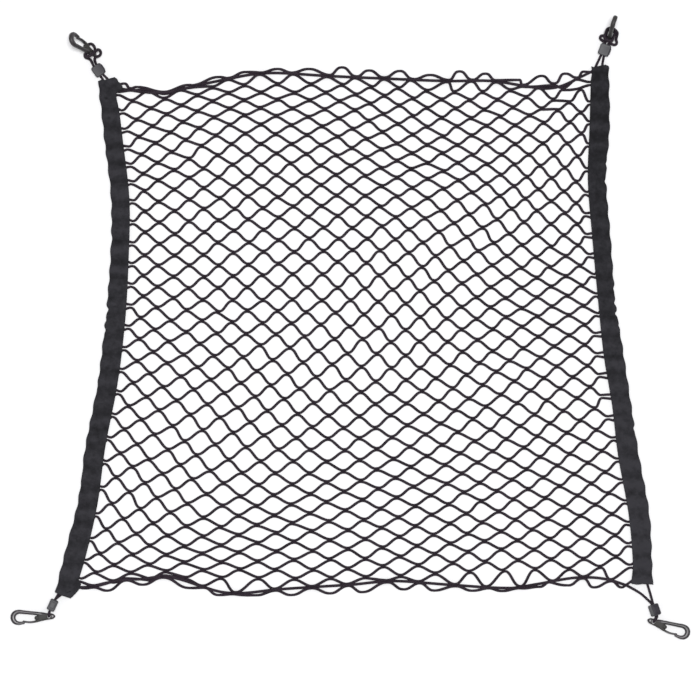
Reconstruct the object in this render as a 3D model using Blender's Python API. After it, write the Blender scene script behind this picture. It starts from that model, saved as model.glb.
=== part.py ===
"""Elastic cargo net lying flat, face up: a diamond mesh panel between two gathered cloth sleeves, with a draw
cord along its top and bottom edges, four cord locks and four moulded snap hooks.

Metres, +Z up. The net lies on the plane z = 0, its top edge towards +Y, and the origin is under the middle of
its outline."""

import math

import bmesh
import bpy
from mathutils import Matrix, Vector

GAP = 0.0003  # between pieces that touch
MIDDLE = (0.00102, -0.00134, 0)  # of the outline in the tables below, moved to the origin at the end

# Net panel. Columns and rows count half meshes; the strands run from sleeve to sleeve.
FIRST_COLUMN, LAST_COLUMN = -15, 17
FIRST_ROW, LAST_ROW = -22, 28
MESH_STEP = 2  # half meshes to a hole's half width, so the panel is cut at twice its pitch
STRAND_WIDTH = 0.0030
NET_THICKNESS = 0.0022
SEAM_DEPTH = 0.005  # the net's edge inside a sleeve
SEAM_WIDTH = 0.003
TIP_CUT = 0.16  # share of a hole's side that its flat top and bottom take
BORDER_WIDTH = 0.0019  # of the scalloped top and bottom edges

# Sleeves: a strip folded lengthwise over the net's edge, open towards the net and at both ends.
CLOTH = 0.001
NET_FALL = 0.0003  # that the net drops inside the sleeve on its way to the surface
LIP_HEIGHT = CLOTH + GAP + NET_FALL + NET_THICKNESS + GAP + CLOTH
END_LIFT = 0.0014  # how far the cord holds the lip up at each end
LIFT_LENGTH, LIFT_FADE = 0.014, 0.030
FOLD_HEIGHT = 0.0068
GATHER_DEPTH = 0.0016
GATHER_RISE = 0.0009
GATHER_STEPS = 4  # sections to each gather
NET_LIFT = CLOTH + GAP + NET_FALL

# Cords
CORD_RADIUS = 0.0014
EDGE_CORD_RADIUS = 0.0017
CORD_RESOLUTION = 2
LONGEST_STEP = 0.012  # between a cord's cross-sections
TURN_STEP = 23  # degrees of bend between them
WALK_STEP = 0.0004  # along the route while looking for them

# Cord locks
LOCK_WIDTH, LOCK_LENGTH, LOCK_THICKNESS = 0.0134, 0.0140, 0.0096
LOCK_CORNER = 0.0028
LOCK_BEVEL = 0.0012
BORE_SPREAD = 0.00185  # from the lock's middle to each strand in its bore
BORE_CLEARANCE = 0.0008

# Snap hooks, in the hook's own frame: x from the eye towards the tip, y towards the back, z through it.
HOOK_THICKNESS = 0.0044
EYE_RADIUS = 0.0023
TAIL_LENGTH = 0.0070
TAIL_RADIUS = 0.0034
BODY_START, BODY_END = 0.0045, 0.0135
BODY_HALF_WIDTH = 0.0054
SHOULDER = 0.0062  # the outer edges' distance from the axis where the body ends
BAR_INNER = 0.0019  # the back bar's inner edge there
KNOB_CENTRE = (0.0150, -0.0014)  # the round boss that stands into the opening
KNOB_RADIUS = 0.0025
BOW_CENTRE = (0.0373, 0.0)
BOW_RADIUS = 0.0091
BOW_HOLE_CENTRE = (0.0355, -0.0005)
BOW_HOLE_RADIUS = 0.0046
NOSE_X = 0.0295
NOSE_INNER = 0.0052
NOSE_LIP = 0.0014  # how far the nose's inner side stands in front of its tip
TONGUE_WIDTH = 0.0024
TONGUE_INNER = 0.0042  # the tongue's inner edge at its two ends
TONGUE_BOW = 0.0012
SLIT = 0.0005

STATION_NAMES = ("row", "left_y", "x1", "y1", "x2", "y2", "x3", "y3", "right_y")
STATION_COLUMNS = (-15, -8, 0, 8, 17)
NET_STATIONS = (
    (-21, 0.2815, -0.146, 0.297, 0.007, 0.300, 0.139, 0.290, 0.297),
    (-15, 0.225, -0.144, 0.242, 0.004, 0.238, 0.146, 0.229, 0.230),
    (-9, 0.162, -0.140, 0.168, 0.001, 0.169, 0.147, 0.161, 0.148),
    (-3, 0.088, -0.139, 0.088, 0.003, 0.091, 0.137, 0.079, 0.074),
    (3, 0.012, -0.141, 0.005, 0.000, 0.000, 0.135, -0.004, 0.002),
    (9, -0.066, -0.150, -0.080, -0.006, -0.093, 0.144, -0.086, -0.073),
    (15, -0.149, -0.166, -0.171, -0.007, -0.174, 0.154, -0.163, -0.148),
    (21, -0.240, -0.176, -0.251, -0.003, -0.244, 0.160, -0.234, -0.223),
    (27, -0.298, -0.174, -0.311, -0.001, -0.313, 0.165, -0.305, -0.2975),
)

INNER_X, OUTER_X = 1, 2  # columns of the tables below, after y
LEFT_SLEEVE = (
    (0.296, -0.277, -0.301),
    (0.224, -0.272, -0.294),
    (0.152, -0.264, -0.286),
    (0.080, -0.265, -0.287),
    (0.008, -0.269, -0.293),
    (-0.067, -0.278, -0.302),
    (-0.145, -0.293, -0.317),
    (-0.211, -0.302, -0.326),
    (-0.262, -0.313, -0.339),
    (-0.317, -0.328, -0.353),
)
RIGHT_SLEEVE = (
    (0.312, 0.290, 0.311),
    (0.239, 0.288, 0.312),
    (0.177, 0.286, 0.308),
    (0.110, 0.291, 0.313),
    (0.034, 0.298, 0.319),
    (-0.034, 0.305, 0.329),
    (-0.094, 0.315, 0.338),
    (-0.153, 0.322, 0.347),
    (-0.226, 0.335, 0.360),
    (-0.285, 0.340, 0.363),
    (-0.309, 0.338, 0.364),
)
LEFT_GATHERS, RIGHT_GATHERS = 27, 26

LOCKS = {
    # name: middle x, y, heading in degrees, roll in degrees
    "top_left": (-0.3012, 0.3074, 124.7, 0),
    "top_right": (0.3060, 0.3318, 70.2, 0),
    "bottom_left": (-0.3562, -0.3342, -115.0, 90),
    "bottom_right": (0.3659, -0.3400, -71.3, 70),
}
HOOKS = {
    # name: eye x, y, z, heading, pitch and roll in degrees
    "top_left": (-0.3084, 0.3282, 0.0072, 145.0, 45, 42),
    "top_right": (0.3115, 0.3465, 0.0074, 77.0, 62, 84),
    "bottom_left": (-0.3606, -0.3478, 0.0060, 181.7, -4.5, 180),
    "bottom_right": (0.3647, -0.3543, 0.0066, -19.0, -5.2, 0),
}


def clear_scene():
    for item in list(bpy.data.objects):
        bpy.data.objects.remove(item, do_unlink=True)


def finish(name, colour, roughness, metallic=0.0):
    material = bpy.data.materials.new(name)
    material.use_nodes = True
    shader = material.node_tree.nodes["Principled BSDF"]
    shader.inputs["Base Color"].default_value = (*colour, 1.0)
    shader.inputs["Roughness"].default_value = roughness
    shader.inputs["Metallic"].default_value = metallic
    return material


def mesh_piece(name, points, faces, material, smooth_angle=None):
    shape = bmesh.new()
    corners = [shape.verts.new(point) for point in points]
    for face in faces:
        shape.faces.new([corners[k] for k in face])
    return shape_piece(name, shape, material, smooth_angle)


def shape_piece(name, shape, material, smooth_angle=None):
    """An object from a finished bmesh, its faces turned out."""
    bmesh.ops.recalc_face_normals(shape, faces=shape.faces)
    mesh = bpy.data.meshes.new(name)
    shape.to_mesh(mesh)
    shape.free()
    mesh.materials.append(material)
    if smooth_angle is not None:
        mesh.shade_smooth()
        mesh.set_sharp_from_angle(angle=smooth_angle)
    piece = bpy.data.objects.new(name, mesh)
    bpy.context.collection.objects.link(piece)
    return piece


def eased(stations, values, at):
    """A smooth curve through values at rising stations, straight on past its ends."""

    def slope(i):
        low, high = max(i - 1, 0), min(i + 1, len(stations) - 1)
        return (values[high] - values[low]) / (stations[high] - stations[low])

    if at <= stations[0]:
        return values[0] + slope(0) * (at - stations[0])
    if at >= stations[-1]:
        return values[-1] + slope(len(stations) - 1) * (at - stations[-1])
    i = max(k for k, station in enumerate(stations) if station <= at)
    span = stations[i + 1] - stations[i]
    t = (at - stations[i]) / span
    rise, fall = t * t * (3 - 2 * t), t * t * (t - 1)
    lead = t * (1 - t) ** 2
    return (
        values[i] * (1 - rise)
        + values[i + 1] * rise
        + span * (slope(i) * lead + slope(i + 1) * fall)
    )


def rail(table, column, y):
    """An edge of a sleeve at a height y, read from its table."""
    rows = sorted(table)
    return eased([row[0] for row in rows], [row[column] for row in rows], y)


def net_place(column, row):
    """The middle of the net's cord at a half-mesh column and row."""
    rows = [station[0] for station in NET_STATIONS]

    def read(name):
        at = STATION_NAMES.index(name)
        return eased(rows, [station[at] for station in NET_STATIONS], row)

    left_y, right_y = read("left_y"), read("right_y")
    xs = (
        rail(LEFT_SLEEVE, INNER_X, left_y),
        read("x1"),
        read("x2"),
        read("x3"),
        rail(RIGHT_SLEEVE, INNER_X, right_y),
    )
    ys = (left_y, read("y1"), read("y2"), read("y3"), right_y)
    return eased(STATION_COLUMNS, xs, column), eased(STATION_COLUMNS, ys, column)


def cell_corner(i, j):
    """A crossing of the panel's grid of holes, its outer columns run on into the sleeves and lifted there."""
    column = FIRST_COLUMN + MESH_STEP * i
    row = FIRST_ROW + MESH_STEP * j
    x, y = net_place(column, row)
    if column == FIRST_COLUMN:
        return Vector((x - SEAM_DEPTH, y, NET_LIFT))
    if column == LAST_COLUMN:
        return Vector((x + SEAM_DEPTH, y, NET_LIFT))
    return Vector((x, y, 0))


def inset_hole(corners):
    """A hole's outline inside its cell: each side moved in by half a strand, the top and bottom cut flat."""
    middle = sum(corners, Vector()) / len(corners)
    count = len(corners)
    lines = []
    for k in range(count):
        along = corners[(k + 1) % count] - corners[k]
        inward = Vector((-along.y, along.x, 0)).normalized()
        if inward.dot(middle - corners[k]) < 0:
            inward = -inward
        lines.append((corners[k] + inward * STRAND_WIDTH / 2, along))
    inset = []
    for k in range(count):
        (a, u), (b, v) = lines[k - 1], lines[k]
        share = ((b - a).x * v.y - (b - a).y * v.x) / (u.x * v.y - u.y * v.x)
        point = a + u * share
        inset.append(point)
    return inset


def build_net(material):
    """The mesh panel: diamond cells whose shared sides are the strands, and a seam strip in each sleeve."""
    columns = (LAST_COLUMN - FIRST_COLUMN) // MESH_STEP
    rows = (LAST_ROW - FIRST_ROW) // MESH_STEP
    shape = bmesh.new()
    shared = {}

    def vertex(i, j):
        if (i, j) not in shared:
            shared[i, j] = shape.verts.new(cell_corner(i, j))
        return shared[i, j]

    def ring(outline, hole):
        """Faces between a cell's outline and its hole, whose points are listed corner by corner."""
        made = [[shape.verts.new(point) for point in group] for group in hole]
        for k, corner in enumerate(outline):
            following = (k + 1) % len(outline)
            for a, b in zip(made[k], made[k][1:]):
                shape.faces.new((corner, b, a))
            shape.faces.new((corner, outline[following], made[following][0], made[k][-1]))

    for j in range(1, rows):
        for i in range(columns + 1):
            if (i + j) % 2:
                continue
            keys = [(i - 1, j), (i, j + 1), (i + 1, j), (i, j - 1)]
            if i == 0:
                keys = [(i, j - 1), (i, j + 1), (i + 1, j)]
            elif i == columns:
                keys = [(i - 1, j), (i, j + 1), (i, j - 1)]
            places = [cell_corner(*key) for key in keys]
            inset = inset_hole(places)
            hole = []
            for k, point in enumerate(inset):
                if len(keys) == 4 and k % 2:
                    before, after = inset[k - 1], inset[(k + 1) % 4]
                    hole.append([point.lerp(before, TIP_CUT), point.lerp(after, TIP_CUT)])
                else:
                    hole.append([point])
            ring([vertex(*key) for key in keys], hole)

    # The scalloped top and bottom edges, and the seam strips.
    for j, outward in ((0, 1), (rows, -1)):
        inner = rows - 1 if j else 1
        line = [(i, j if (i + inner) % 2 == 0 else inner) for i in range(columns + 1)]
        edge = [vertex(*key) for key in line]
        outer = [
            shape.verts.new(corner.co + Vector((0, outward * BORDER_WIDTH, 0)))
            for corner in edge
        ]
        for k in range(columns):
            shape.faces.new((edge[k], edge[k + 1], outer[k + 1], outer[k]))
        shared["first", j], shared["last", j] = outer[0], outer[-1]
    for i, outward, end in ((0, -1, "first"), (columns, 1, "last")):
        inner = [key for key in shared if key[0] == i]
        line = [shared[key] for key in sorted(inner, key=lambda key: key[1])]
        line = [shared[end, 0], *line, shared[end, rows]]
        outer = [shape.verts.new(v.co + Vector((outward * SEAM_WIDTH, 0, 0))) for v in line]
        for k in range(len(line) - 1):
            shape.faces.new((line[k], line[k + 1], outer[k + 1], outer[k]))
    thicken(shape, list(shape.faces), NET_THICKNESS)
    return shape_piece("net_panel", shape, material)


def sleeve_section(inner_x, outer_x, out, phase, lift):
    """One cut across a sleeve as x, z pairs, round its outer skin and back round its inner one."""
    width = abs(outer_x - inner_x) + GATHER_DEPTH * math.cos(phase)
    rise = GATHER_RISE * math.cos(phase)
    top = FOLD_HEIGHT + rise + 0.7 * lift
    lip = LIP_HEIGHT + lift
    profile = (
        (0.0, 0.0),
        (0.90, 0.0),
        (1.0, 0.42 * top),
        (0.93, 0.88 * top),
        (0.74, top),
        (0.42, 0.5 * (top + lip) - 0.35 * rise),
        (0.0, lip),
    )
    points = [(inner_x + out * width * u, z) for u, z in profile]
    lining = (
        (0.0, lip - CLOTH),
        (0.74, top - CLOTH),
        (0.93 - CLOTH / width, 0.42 * top),
        (0.88, CLOTH),
        (0.0, CLOTH),
    )
    points += [(inner_x + out * width * u, z) for u, z in lining]
    return points


def build_sleeve(name, table, gathers, out, material):
    """A gathered sleeve: its sections swell between the stitches that bunch it and draw in at them."""
    count = gathers * GATHER_STEPS + 1
    high, low = table[0][0], table[-1][0]
    points, faces = [], []
    for k in range(count):
        share = k / (count - 1)
        wander = 0.35 * math.sin(7.3 * share * math.tau) + 0.3 * math.sin(2.9 * share * math.tau + out)
        phase = math.tau * gathers * share + wander
        y = high + (low - high) * share
        from_end = min(high - y, y - low)
        held = min(max((LIFT_FADE - from_end) / (LIFT_FADE - LIFT_LENGTH), 0.0), 1.0)
        inner_x, outer_x = rail(table, INNER_X, y), rail(table, OUTER_X, y)
        section = sleeve_section(inner_x, outer_x, out, phase, END_LIFT * held)
        points += [(x, y, z) for x, z in section]
    size = len(points) // count
    for k in range(count - 1):
        for s in range(size):
            a, b = k * size + s, k * size + (s + 1) % size
            faces.append((a, b, b + size, a + size))
    faces += [tuple(range(size)), tuple(range((count - 1) * size, count * size))]
    return mesh_piece(name, points, faces, material, math.radians(50))


def thicken(shape, faces, depth):
    """Turns flat faces into a plate, raised by a depth."""
    raised = bmesh.ops.extrude_face_region(shape, geom=faces)["geom"]
    for item in raised:
        if isinstance(item, bmesh.types.BMVert):
            item.co.z += depth


def arc(centre, radius, start, end, steps):
    """Points on an arc, angles in degrees."""
    angles = [math.radians(start + (end - start) * k / steps) for k in range(steps + 1)]
    return [(centre[0] + radius * math.cos(a), centre[1] + radius * math.sin(a)) for a in angles]


def hook_outline():
    """The hook's edge: tail, back, bow and nose, then the slit behind it, the hole, the knob, the tongue."""
    tail = arc((-TAIL_LENGTH + TAIL_RADIUS, 0), TAIL_RADIUS, 235, 125, 3)
    back = [(BODY_START, BODY_HALF_WIDTH * 0.86), (BODY_END * 0.6, BODY_HALF_WIDTH), (BODY_END, SHOULDER)]
    bow = arc(BOW_CENTRE, BOW_RADIUS, 92, -90, 8)
    tip = NOSE_X + NOSE_LIP
    nose = [(NOSE_X, -BOW_RADIUS + SLIT), (NOSE_X - SLIT, -BOW_RADIUS + 3 * SLIT)]
    inside_nose = [(tip, -TONGUE_INNER - 3 * SLIT), (tip + 2 * SLIT, -NOSE_INNER)]
    hole = arc(BOW_HOLE_CENTRE, BOW_HOLE_RADIUS, -92, 92, 7)
    knob = arc(KNOB_CENTRE, KNOB_RADIUS, 75, -75, 5)
    throat = [(BODY_END + 2 * SLIT, BAR_INNER), *knob, (BODY_END, -TONGUE_INNER)]
    middle = (BODY_END + NOSE_X) / 2
    tongue_inner = [(middle, -TONGUE_INNER - TONGUE_BOW), (tip - SLIT, -TONGUE_INNER)]
    tongue_end = [(tip, -TONGUE_INNER - SLIT), (NOSE_X, -TONGUE_INNER - TONGUE_WIDTH + SLIT)]
    tongue_outer = [(middle, -TONGUE_INNER - TONGUE_BOW - TONGUE_WIDTH), (BODY_END - 2 * SLIT, -SHOULDER)]
    belly = [(BODY_END * 0.5, -BODY_HALF_WIDTH), (BODY_START * 0.7, -BODY_HALF_WIDTH * 0.78)]
    loop_side = [*tail, *back, *bow, *nose]
    return loop_side, inside_nose, hole, throat, tongue_inner, tongue_end, tongue_outer, belly


def build_hook(name, place, material):
    """A snap hook as one moulding: the tongue springs from the body and its free end lies behind the nose."""
    loop_side, inside_nose, hole, throat, tongue_inner, tongue_end, tongue_outer, belly = hook_outline()
    outline = [*loop_side, *inside_nose, *hole, *throat, *tongue_inner, *tongue_end, *tongue_outer, *belly]
    eye = arc((0, 0), EYE_RADIUS, 360, 30, 11)
    shape = bmesh.new()
    edges = []
    for loop in (outline, eye):
        ring = [shape.verts.new((x, y, -HOOK_THICKNESS / 2)) for x, y in loop]
        edges += [shape.edges.new((a, b)) for a, b in zip(ring, [*ring[1:], ring[0]])]
    filled = bmesh.ops.triangle_fill(shape, use_beauty=True, edges=edges)["geom"]
    thicken(shape, [item for item in filled if isinstance(item, bmesh.types.BMFace)], HOOK_THICKNESS)
    piece = shape_piece(name, shape, material, math.radians(40))
    piece.matrix_world = hook_frame(place)
    return piece


def hook_frame(place):
    x, y, z, heading, pitch, roll = place
    turn = Matrix.Rotation(math.radians(heading), 4, "Z")
    turn = turn @ Matrix.Rotation(math.radians(-pitch), 4, "Y")
    return Matrix.Translation((x, y, z)) @ turn @ Matrix.Rotation(math.radians(roll), 4, "X")


def lock_height(roll):
    """Height of a lock's middle when it rests on the surface, rolled about its cords."""
    tall, flat = abs(math.sin(math.radians(roll))), abs(math.cos(math.radians(roll)))
    half_width, half_thickness = LOCK_WIDTH / 2, LOCK_THICKNESS / 2
    return max(
        tall * half_width + flat * (half_thickness - LOCK_BEVEL),
        tall * (half_width - LOCK_BEVEL) + flat * half_thickness,
    )


def lock_frame(place):
    x, y, heading, roll = place
    turn = Matrix.Rotation(math.radians(heading), 4, "Z") @ Matrix.Rotation(math.radians(roll), 4, "X")
    return Matrix.Translation((x, y, lock_height(roll))) @ turn


def build_lock(name, place, material):
    """A cord lock: an eight-sided moulding with one slot-shaped bore that both strands share."""
    half_length, half_width = LOCK_LENGTH / 2, LOCK_WIDTH / 2
    outline = []
    for sx, sy in ((1, 1), (-1, 1), (-1, -1), (1, -1)):
        ends = [
            (sx * half_length, sy * (half_width - LOCK_CORNER)),
            (sx * (half_length - LOCK_CORNER), sy * half_width),
        ]
        outline += ends if sx * sy > 0 else ends[::-1]
    shape = bmesh.new()
    ring = [shape.verts.new((x, y, -LOCK_THICKNESS / 2)) for x, y in outline]
    thicken(shape, [shape.faces.new(ring)], LOCK_THICKNESS)
    bmesh.ops.recalc_face_normals(shape, faces=shape.faces)
    rim = [edge for edge in shape.edges if abs(edge.verts[0].co.z - edge.verts[1].co.z) < 1e-6]
    bmesh.ops.bevel(shape, geom=rim, offset=LOCK_BEVEL, segments=1, affect="EDGES")
    piece = shape_piece(name, shape, material, math.radians(30))
    piece.matrix_world = lock_frame(place)

    reach = CORD_RADIUS + BORE_CLEARANCE
    slot = [(BORE_SPREAD + u, v) for u, v in arc((0, 0), reach, -90, 90, 4)]
    slot += [(-BORE_SPREAD + u, v) for u, v in arc((0, 0), reach, 90, 270, 4)]
    size = len(slot)
    points = [(end * LOCK_LENGTH, y, z) for end in (-1, 1) for y, z in slot]
    faces = [(k, (k + 1) % size, (k + 1) % size + size, k + size) for k in range(size)]
    faces += [tuple(range(size))[::-1], tuple(range(size, 2 * size))]
    cutter = mesh_piece(f"{name}_bore", points, faces, material)
    cutter.matrix_world = lock_frame(place)
    cutter.hide_render = True
    cutter.display_type = "WIRE"
    bore = piece.modifiers.new("bore", "BOOLEAN")
    bore.operation = "DIFFERENCE"
    bore.object = cutter
    return piece


def bore_points(corner, side, towards_hook):
    """A strand's places in a lock's bore, on the side of its middle that side (1 or -1) gives."""
    frame = lock_frame(LOCKS[corner])
    ends = (-1.08, -0.7, 0.7, 1.08)
    run = [frame @ Vector((end * LOCK_LENGTH / 2, side * BORE_SPREAD, 0)) for end in ends]
    return run if towards_hook else run[::-1]


def level_frame(place, heading):
    """Under a hook's eye on the surface, x along a heading and z straight up."""
    return Matrix.Translation((place[0], place[1], 0)) @ Matrix.Rotation(math.radians(heading), 4, "Z")


def laid(frame, points):
    return [frame @ Vector(point) for point in points]


def tight(points):
    return [(Vector(point), CORD_RADIUS) for point in points]


def slack(points):
    return [(Vector(point), EDGE_CORD_RADIUS) for point in points]


def cord_spots(route):
    """Places and radii along one smooth curve through a route, closer together where it bends."""
    lengths = [0.0]
    for (a, _), (b, _) in zip(route, route[1:]):
        lengths.append(lengths[-1] + (b - a).length)
    tracks = [[place[axis] for place, _ in route] for axis in range(3)]
    radii = [radius for _, radius in route]

    def place(at):
        return Vector([eased(lengths, track, at) for track in tracks])

    spots = [(route[0][0], radii[0])]
    last, heading = 0.0, None
    for k in range(1, int(lengths[-1] / WALK_STEP)):
        at = k * WALK_STEP
        ahead = place(at + WALK_STEP) - place(at)
        heading = heading or ahead
        if math.degrees(heading.angle(ahead)) > TURN_STEP or at - last > LONGEST_STEP:
            spots.append((place(at), eased(lengths, radii, at)))
            last, heading = at, ahead
    spots.append((route[-1][0], radii[-1]))
    return spots


def build_cord(name, route, material):
    spots = cord_spots(route)
    curve = bpy.data.curves.new(name, "CURVE")
    curve.dimensions = "3D"
    curve.bevel_depth = 1.0
    curve.bevel_resolution = CORD_RESOLUTION
    curve.use_fill_caps = True
    line = curve.splines.new("POLY")
    line.points.add(len(spots) - 1)
    for spot, (point, radius) in zip(line.points, spots):
        spot.co = (*point, 1.0)
        spot.radius = radius
    curve.materials.append(material)
    piece = bpy.data.objects.new(name, curve)
    bpy.context.collection.objects.link(piece)
    return piece


# The upper knots: a loop in a level frame at the eye, then through the eye and round the hook's body in the
# hook's frame, then a second loop in the level frame.
KNOT_HEADINGS = {"top_left": 145.0, "top_right": 70.0}
TOP_LEFT_FIRST_LOOP = (
    (-0.0060, 0.0096, 0.0046),
    (-0.0028, 0.0080, 0.0042),
    (0.0004, 0.0084, 0.0040),
    (0.0034, 0.0092, 0.0042),
    (0.0060, 0.0076, 0.0046),
    (0.0064, 0.0048, 0.0048),
    (0.0044, 0.0034, 0.0048),
)
TOP_LEFT_TURN = (
    (0.0000, 0.0000, -0.0030),
    (0.0000, 0.0000, 0.0000),
    (0.0002, -0.0003, 0.0030),
    (0.0013, -0.0024, 0.0049),
    (0.0032, -0.0060, 0.0046),
    (0.0054, -0.0087, 0.0026),
    (0.0068, -0.0089, -0.0006),
    (0.0068, -0.0074, -0.0036),
    (0.0065, -0.0030, -0.0047),
    (0.0066, 0.0030, -0.0047),
    (0.0070, 0.0069, -0.0036),
    (0.0070, 0.0081, 0.0002),
    (0.0062, 0.0066, 0.0040),
    (0.0046, 0.0040, 0.0061),
    (0.0026, 0.0010, 0.0077),
    (0.0004, -0.0014, 0.0081),
    (-0.0015, -0.0033, 0.0070),
)
TOP_LEFT_SECOND_LOOP = (
    (-0.0056, -0.0076, 0.0066),
    (-0.0082, -0.0058, 0.0062),
    (-0.0090, -0.0029, 0.0068),
    (-0.0078, -0.0002, 0.0082),
    (-0.0062, 0.0020, 0.0094),
    (-0.0066, 0.0046, 0.0084),
    (-0.0086, 0.0066, 0.0062),
)
TOP_RIGHT_FIRST_LOOP = (
    (-0.0073, 0.0026, 0.0045),
    (-0.0063, 0.0060, 0.0045),
    (-0.0044, 0.0098, 0.0048),
    (-0.0014, 0.0098, 0.0056),
    (-0.0002, 0.0072, 0.0064),
    (-0.0002, 0.0046, 0.0071),
)
TOP_RIGHT_TURN = (
    (0.0000, 0.0000, -0.0024),
    (0.0000, 0.0000, 0.0000),
    (0.0001, 0.0001, 0.0026),
    (0.0012, 0.0020, 0.0044),
    (0.0024, 0.0053, 0.0042),
    (0.0031, 0.0071, 0.0000),
    (0.0037, 0.0056, -0.0042),
    (0.0043, 0.0000, -0.0046),
    (0.0048, -0.0058, -0.0044),
    (0.0052, -0.0076, 0.0000),
    (0.0056, -0.0058, 0.0044),
    (0.0060, 0.0000, 0.0048),
    (0.0066, 0.0062, 0.0047),
    (0.0072, 0.0081, 0.0000),
    (0.0078, 0.0062, -0.0049),
    (0.0080, 0.0000, -0.0055),
    (0.0083, -0.0062, -0.0049),
    (0.0087, -0.0086, 0.0000),
    (0.0088, -0.0072, 0.0047),
    (0.0070, -0.0056, 0.0077),
    (0.0038, -0.0042, 0.0081),
)
TOP_RIGHT_SECOND_LOOP = (
    (0.0006, -0.0086, 0.0072),
    (-0.0020, -0.0104, 0.0058),
    (-0.0044, -0.0106, 0.0050),
    (-0.0060, -0.0088, 0.0047),
    (-0.0063, -0.0056, 0.0047),
    (-0.0073, -0.0023, 0.0047),
)
BOTTOM_LEFT_BIGHT = (
    (-0.3598, -0.3417, 0.0091),
    (-0.3603, -0.3441, 0.0107),
    (-0.3606, -0.3472, 0.0097),
    (-0.3606, -0.3478, 0.0060),
    (-0.3606, -0.3472, 0.0026),
    (-0.3603, -0.3447, 0.0017),
    (-0.3600, -0.3426, 0.0028),
    (-0.3597, -0.3413, 0.0045),
)
BOTTOM_RIGHT_BIGHT = (
    (0.3679, -0.3484, 0.0047),
    (0.3674, -0.3495, 0.0025),
    (0.3663, -0.3515, 0.0017),
    (0.3651, -0.3537, 0.0025),
    (0.3647, -0.3543, 0.0066),
    (0.3650, -0.3539, 0.0096),
    (0.3664, -0.3517, 0.0108),
    (0.3688, -0.3485, 0.0096),
)

# The cord over the net's top edge, from the left sleeve to the right one.
TOP_EDGE = (
    (-0.2640, 0.2836, 0.0056),
    (-0.2478, 0.2814, 0.0051),
    (-0.2238, 0.2802, 0.0046),
    (-0.2058, 0.2832, 0.0044),
    (-0.1854, 0.2886, 0.0044),
    (-0.1458, 0.2970, 0.0044),
    (-0.1170, 0.3024, 0.0044),
    (-0.0870, 0.3042, 0.0044),
    (-0.0258, 0.3006, 0.0044),
    (0.0402, 0.2976, 0.0044),
    (0.1170, 0.2946, 0.0044),
    (0.1710, 0.2946, 0.0044),
    (0.2100, 0.2886, 0.0044),
    (0.2334, 0.2856, 0.0046),
    (0.2502, 0.2874, 0.0050),
    (0.2646, 0.2928, 0.0054),
    (0.2760, 0.2992, 0.0058),
)
BOTTOM_EDGE = (
    (-0.3236, -0.3130, 0.0033),
    (-0.3150, -0.3126, 0.0052),
    (-0.3010, -0.3108, 0.0054),
    (-0.2754, -0.3042, 0.0050),
    (-0.2502, -0.3030, 0.0046),
    (-0.2238, -0.3000, 0.0044),
    (-0.2046, -0.3030, 0.0044),
    (-0.1782, -0.3114, 0.0044),
    (-0.1530, -0.3186, 0.0044),
    (-0.1278, -0.3198, 0.0044),
    (-0.0882, -0.3156, 0.0044),
    (-0.0438, -0.3126, 0.0044),
    (0.0018, -0.3097, 0.0044),
    (0.0534, -0.3054, 0.0044),
    (0.1182, -0.3097, 0.0044),
    (0.1926, -0.3138, 0.0044),
    (0.2214, -0.3097, 0.0044),
    (0.2670, -0.3018, 0.0044),
    (0.2934, -0.3013, 0.0046),
    (0.3126, -0.3042, 0.0052),
    (0.3342, -0.3112, 0.0056),
)


def knot(corner, first_loop, turn, second_loop):
    place = HOOKS[corner]
    level = level_frame(place, KNOT_HEADINGS[corner])
    return [*laid(level, first_loop), *laid(hook_frame(place), turn), *laid(level, second_loop)]


def top_cord_route():
    left_knot = knot("top_left", TOP_LEFT_FIRST_LOOP, TOP_LEFT_TURN, TOP_LEFT_SECOND_LOOP)
    right_knot = knot("top_right", TOP_RIGHT_FIRST_LOOP, TOP_RIGHT_TURN, TOP_RIGHT_SECOND_LOOP)
    return [
        *tight([(-0.2920, 0.2800, 0.0029), (-0.2930, 0.2870, 0.0029), (-0.2955, 0.2952, 0.0037)]),
        *tight(bore_points("top_left", 1, True)),
        *tight(left_knot),
        *tight(bore_points("top_left", -1, False)),
        *tight([(-0.2893, 0.2960, 0.0039), (-0.2850, 0.2900, 0.0030), (-0.2780, 0.2864, 0.0030)]),
        *slack(TOP_EDGE),
        *tight([(0.2880, 0.3046, 0.0032), (0.2936, 0.3086, 0.0030), (0.2964, 0.3140, 0.0038)]),
        *tight(bore_points("top_right", 1, True)),
        *tight(right_knot),
        *tight(bore_points("top_right", -1, False)),
        *tight([(0.3034, 0.3140, 0.0037), (0.3030, 0.3060, 0.0029), (0.3024, 0.2960, 0.0029)]),
    ]


def bottom_cord_route():
    return [
        *tight([(-0.3362, -0.2950, 0.0029), (-0.3420, -0.3080, 0.0029), (-0.3470, -0.3172, 0.0031)]),
        *tight(bore_points("bottom_left", -1, True)),
        *tight(BOTTOM_LEFT_BIGHT[::-1]),
        *tight(bore_points("bottom_left", 1, False)),
        *tight([(-0.3450, -0.3208, 0.0056), (-0.3408, -0.3160, 0.0030), (-0.3340, -0.3136, 0.0029)]),
        *slack(BOTTOM_EDGE),
        *tight([(0.3486, -0.3198, 0.0046), (0.3570, -0.3270, 0.0058)]),
        *tight(bore_points("bottom_right", -1, True)),
        *tight(BOTTOM_RIGHT_BIGHT),
        *tight(bore_points("bottom_right", 1, False)),
        *tight([(0.3610, -0.3210, 0.0064), (0.3575, -0.3090, 0.0032), (0.3555, -0.2960, 0.0029)]),
    ]


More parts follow.
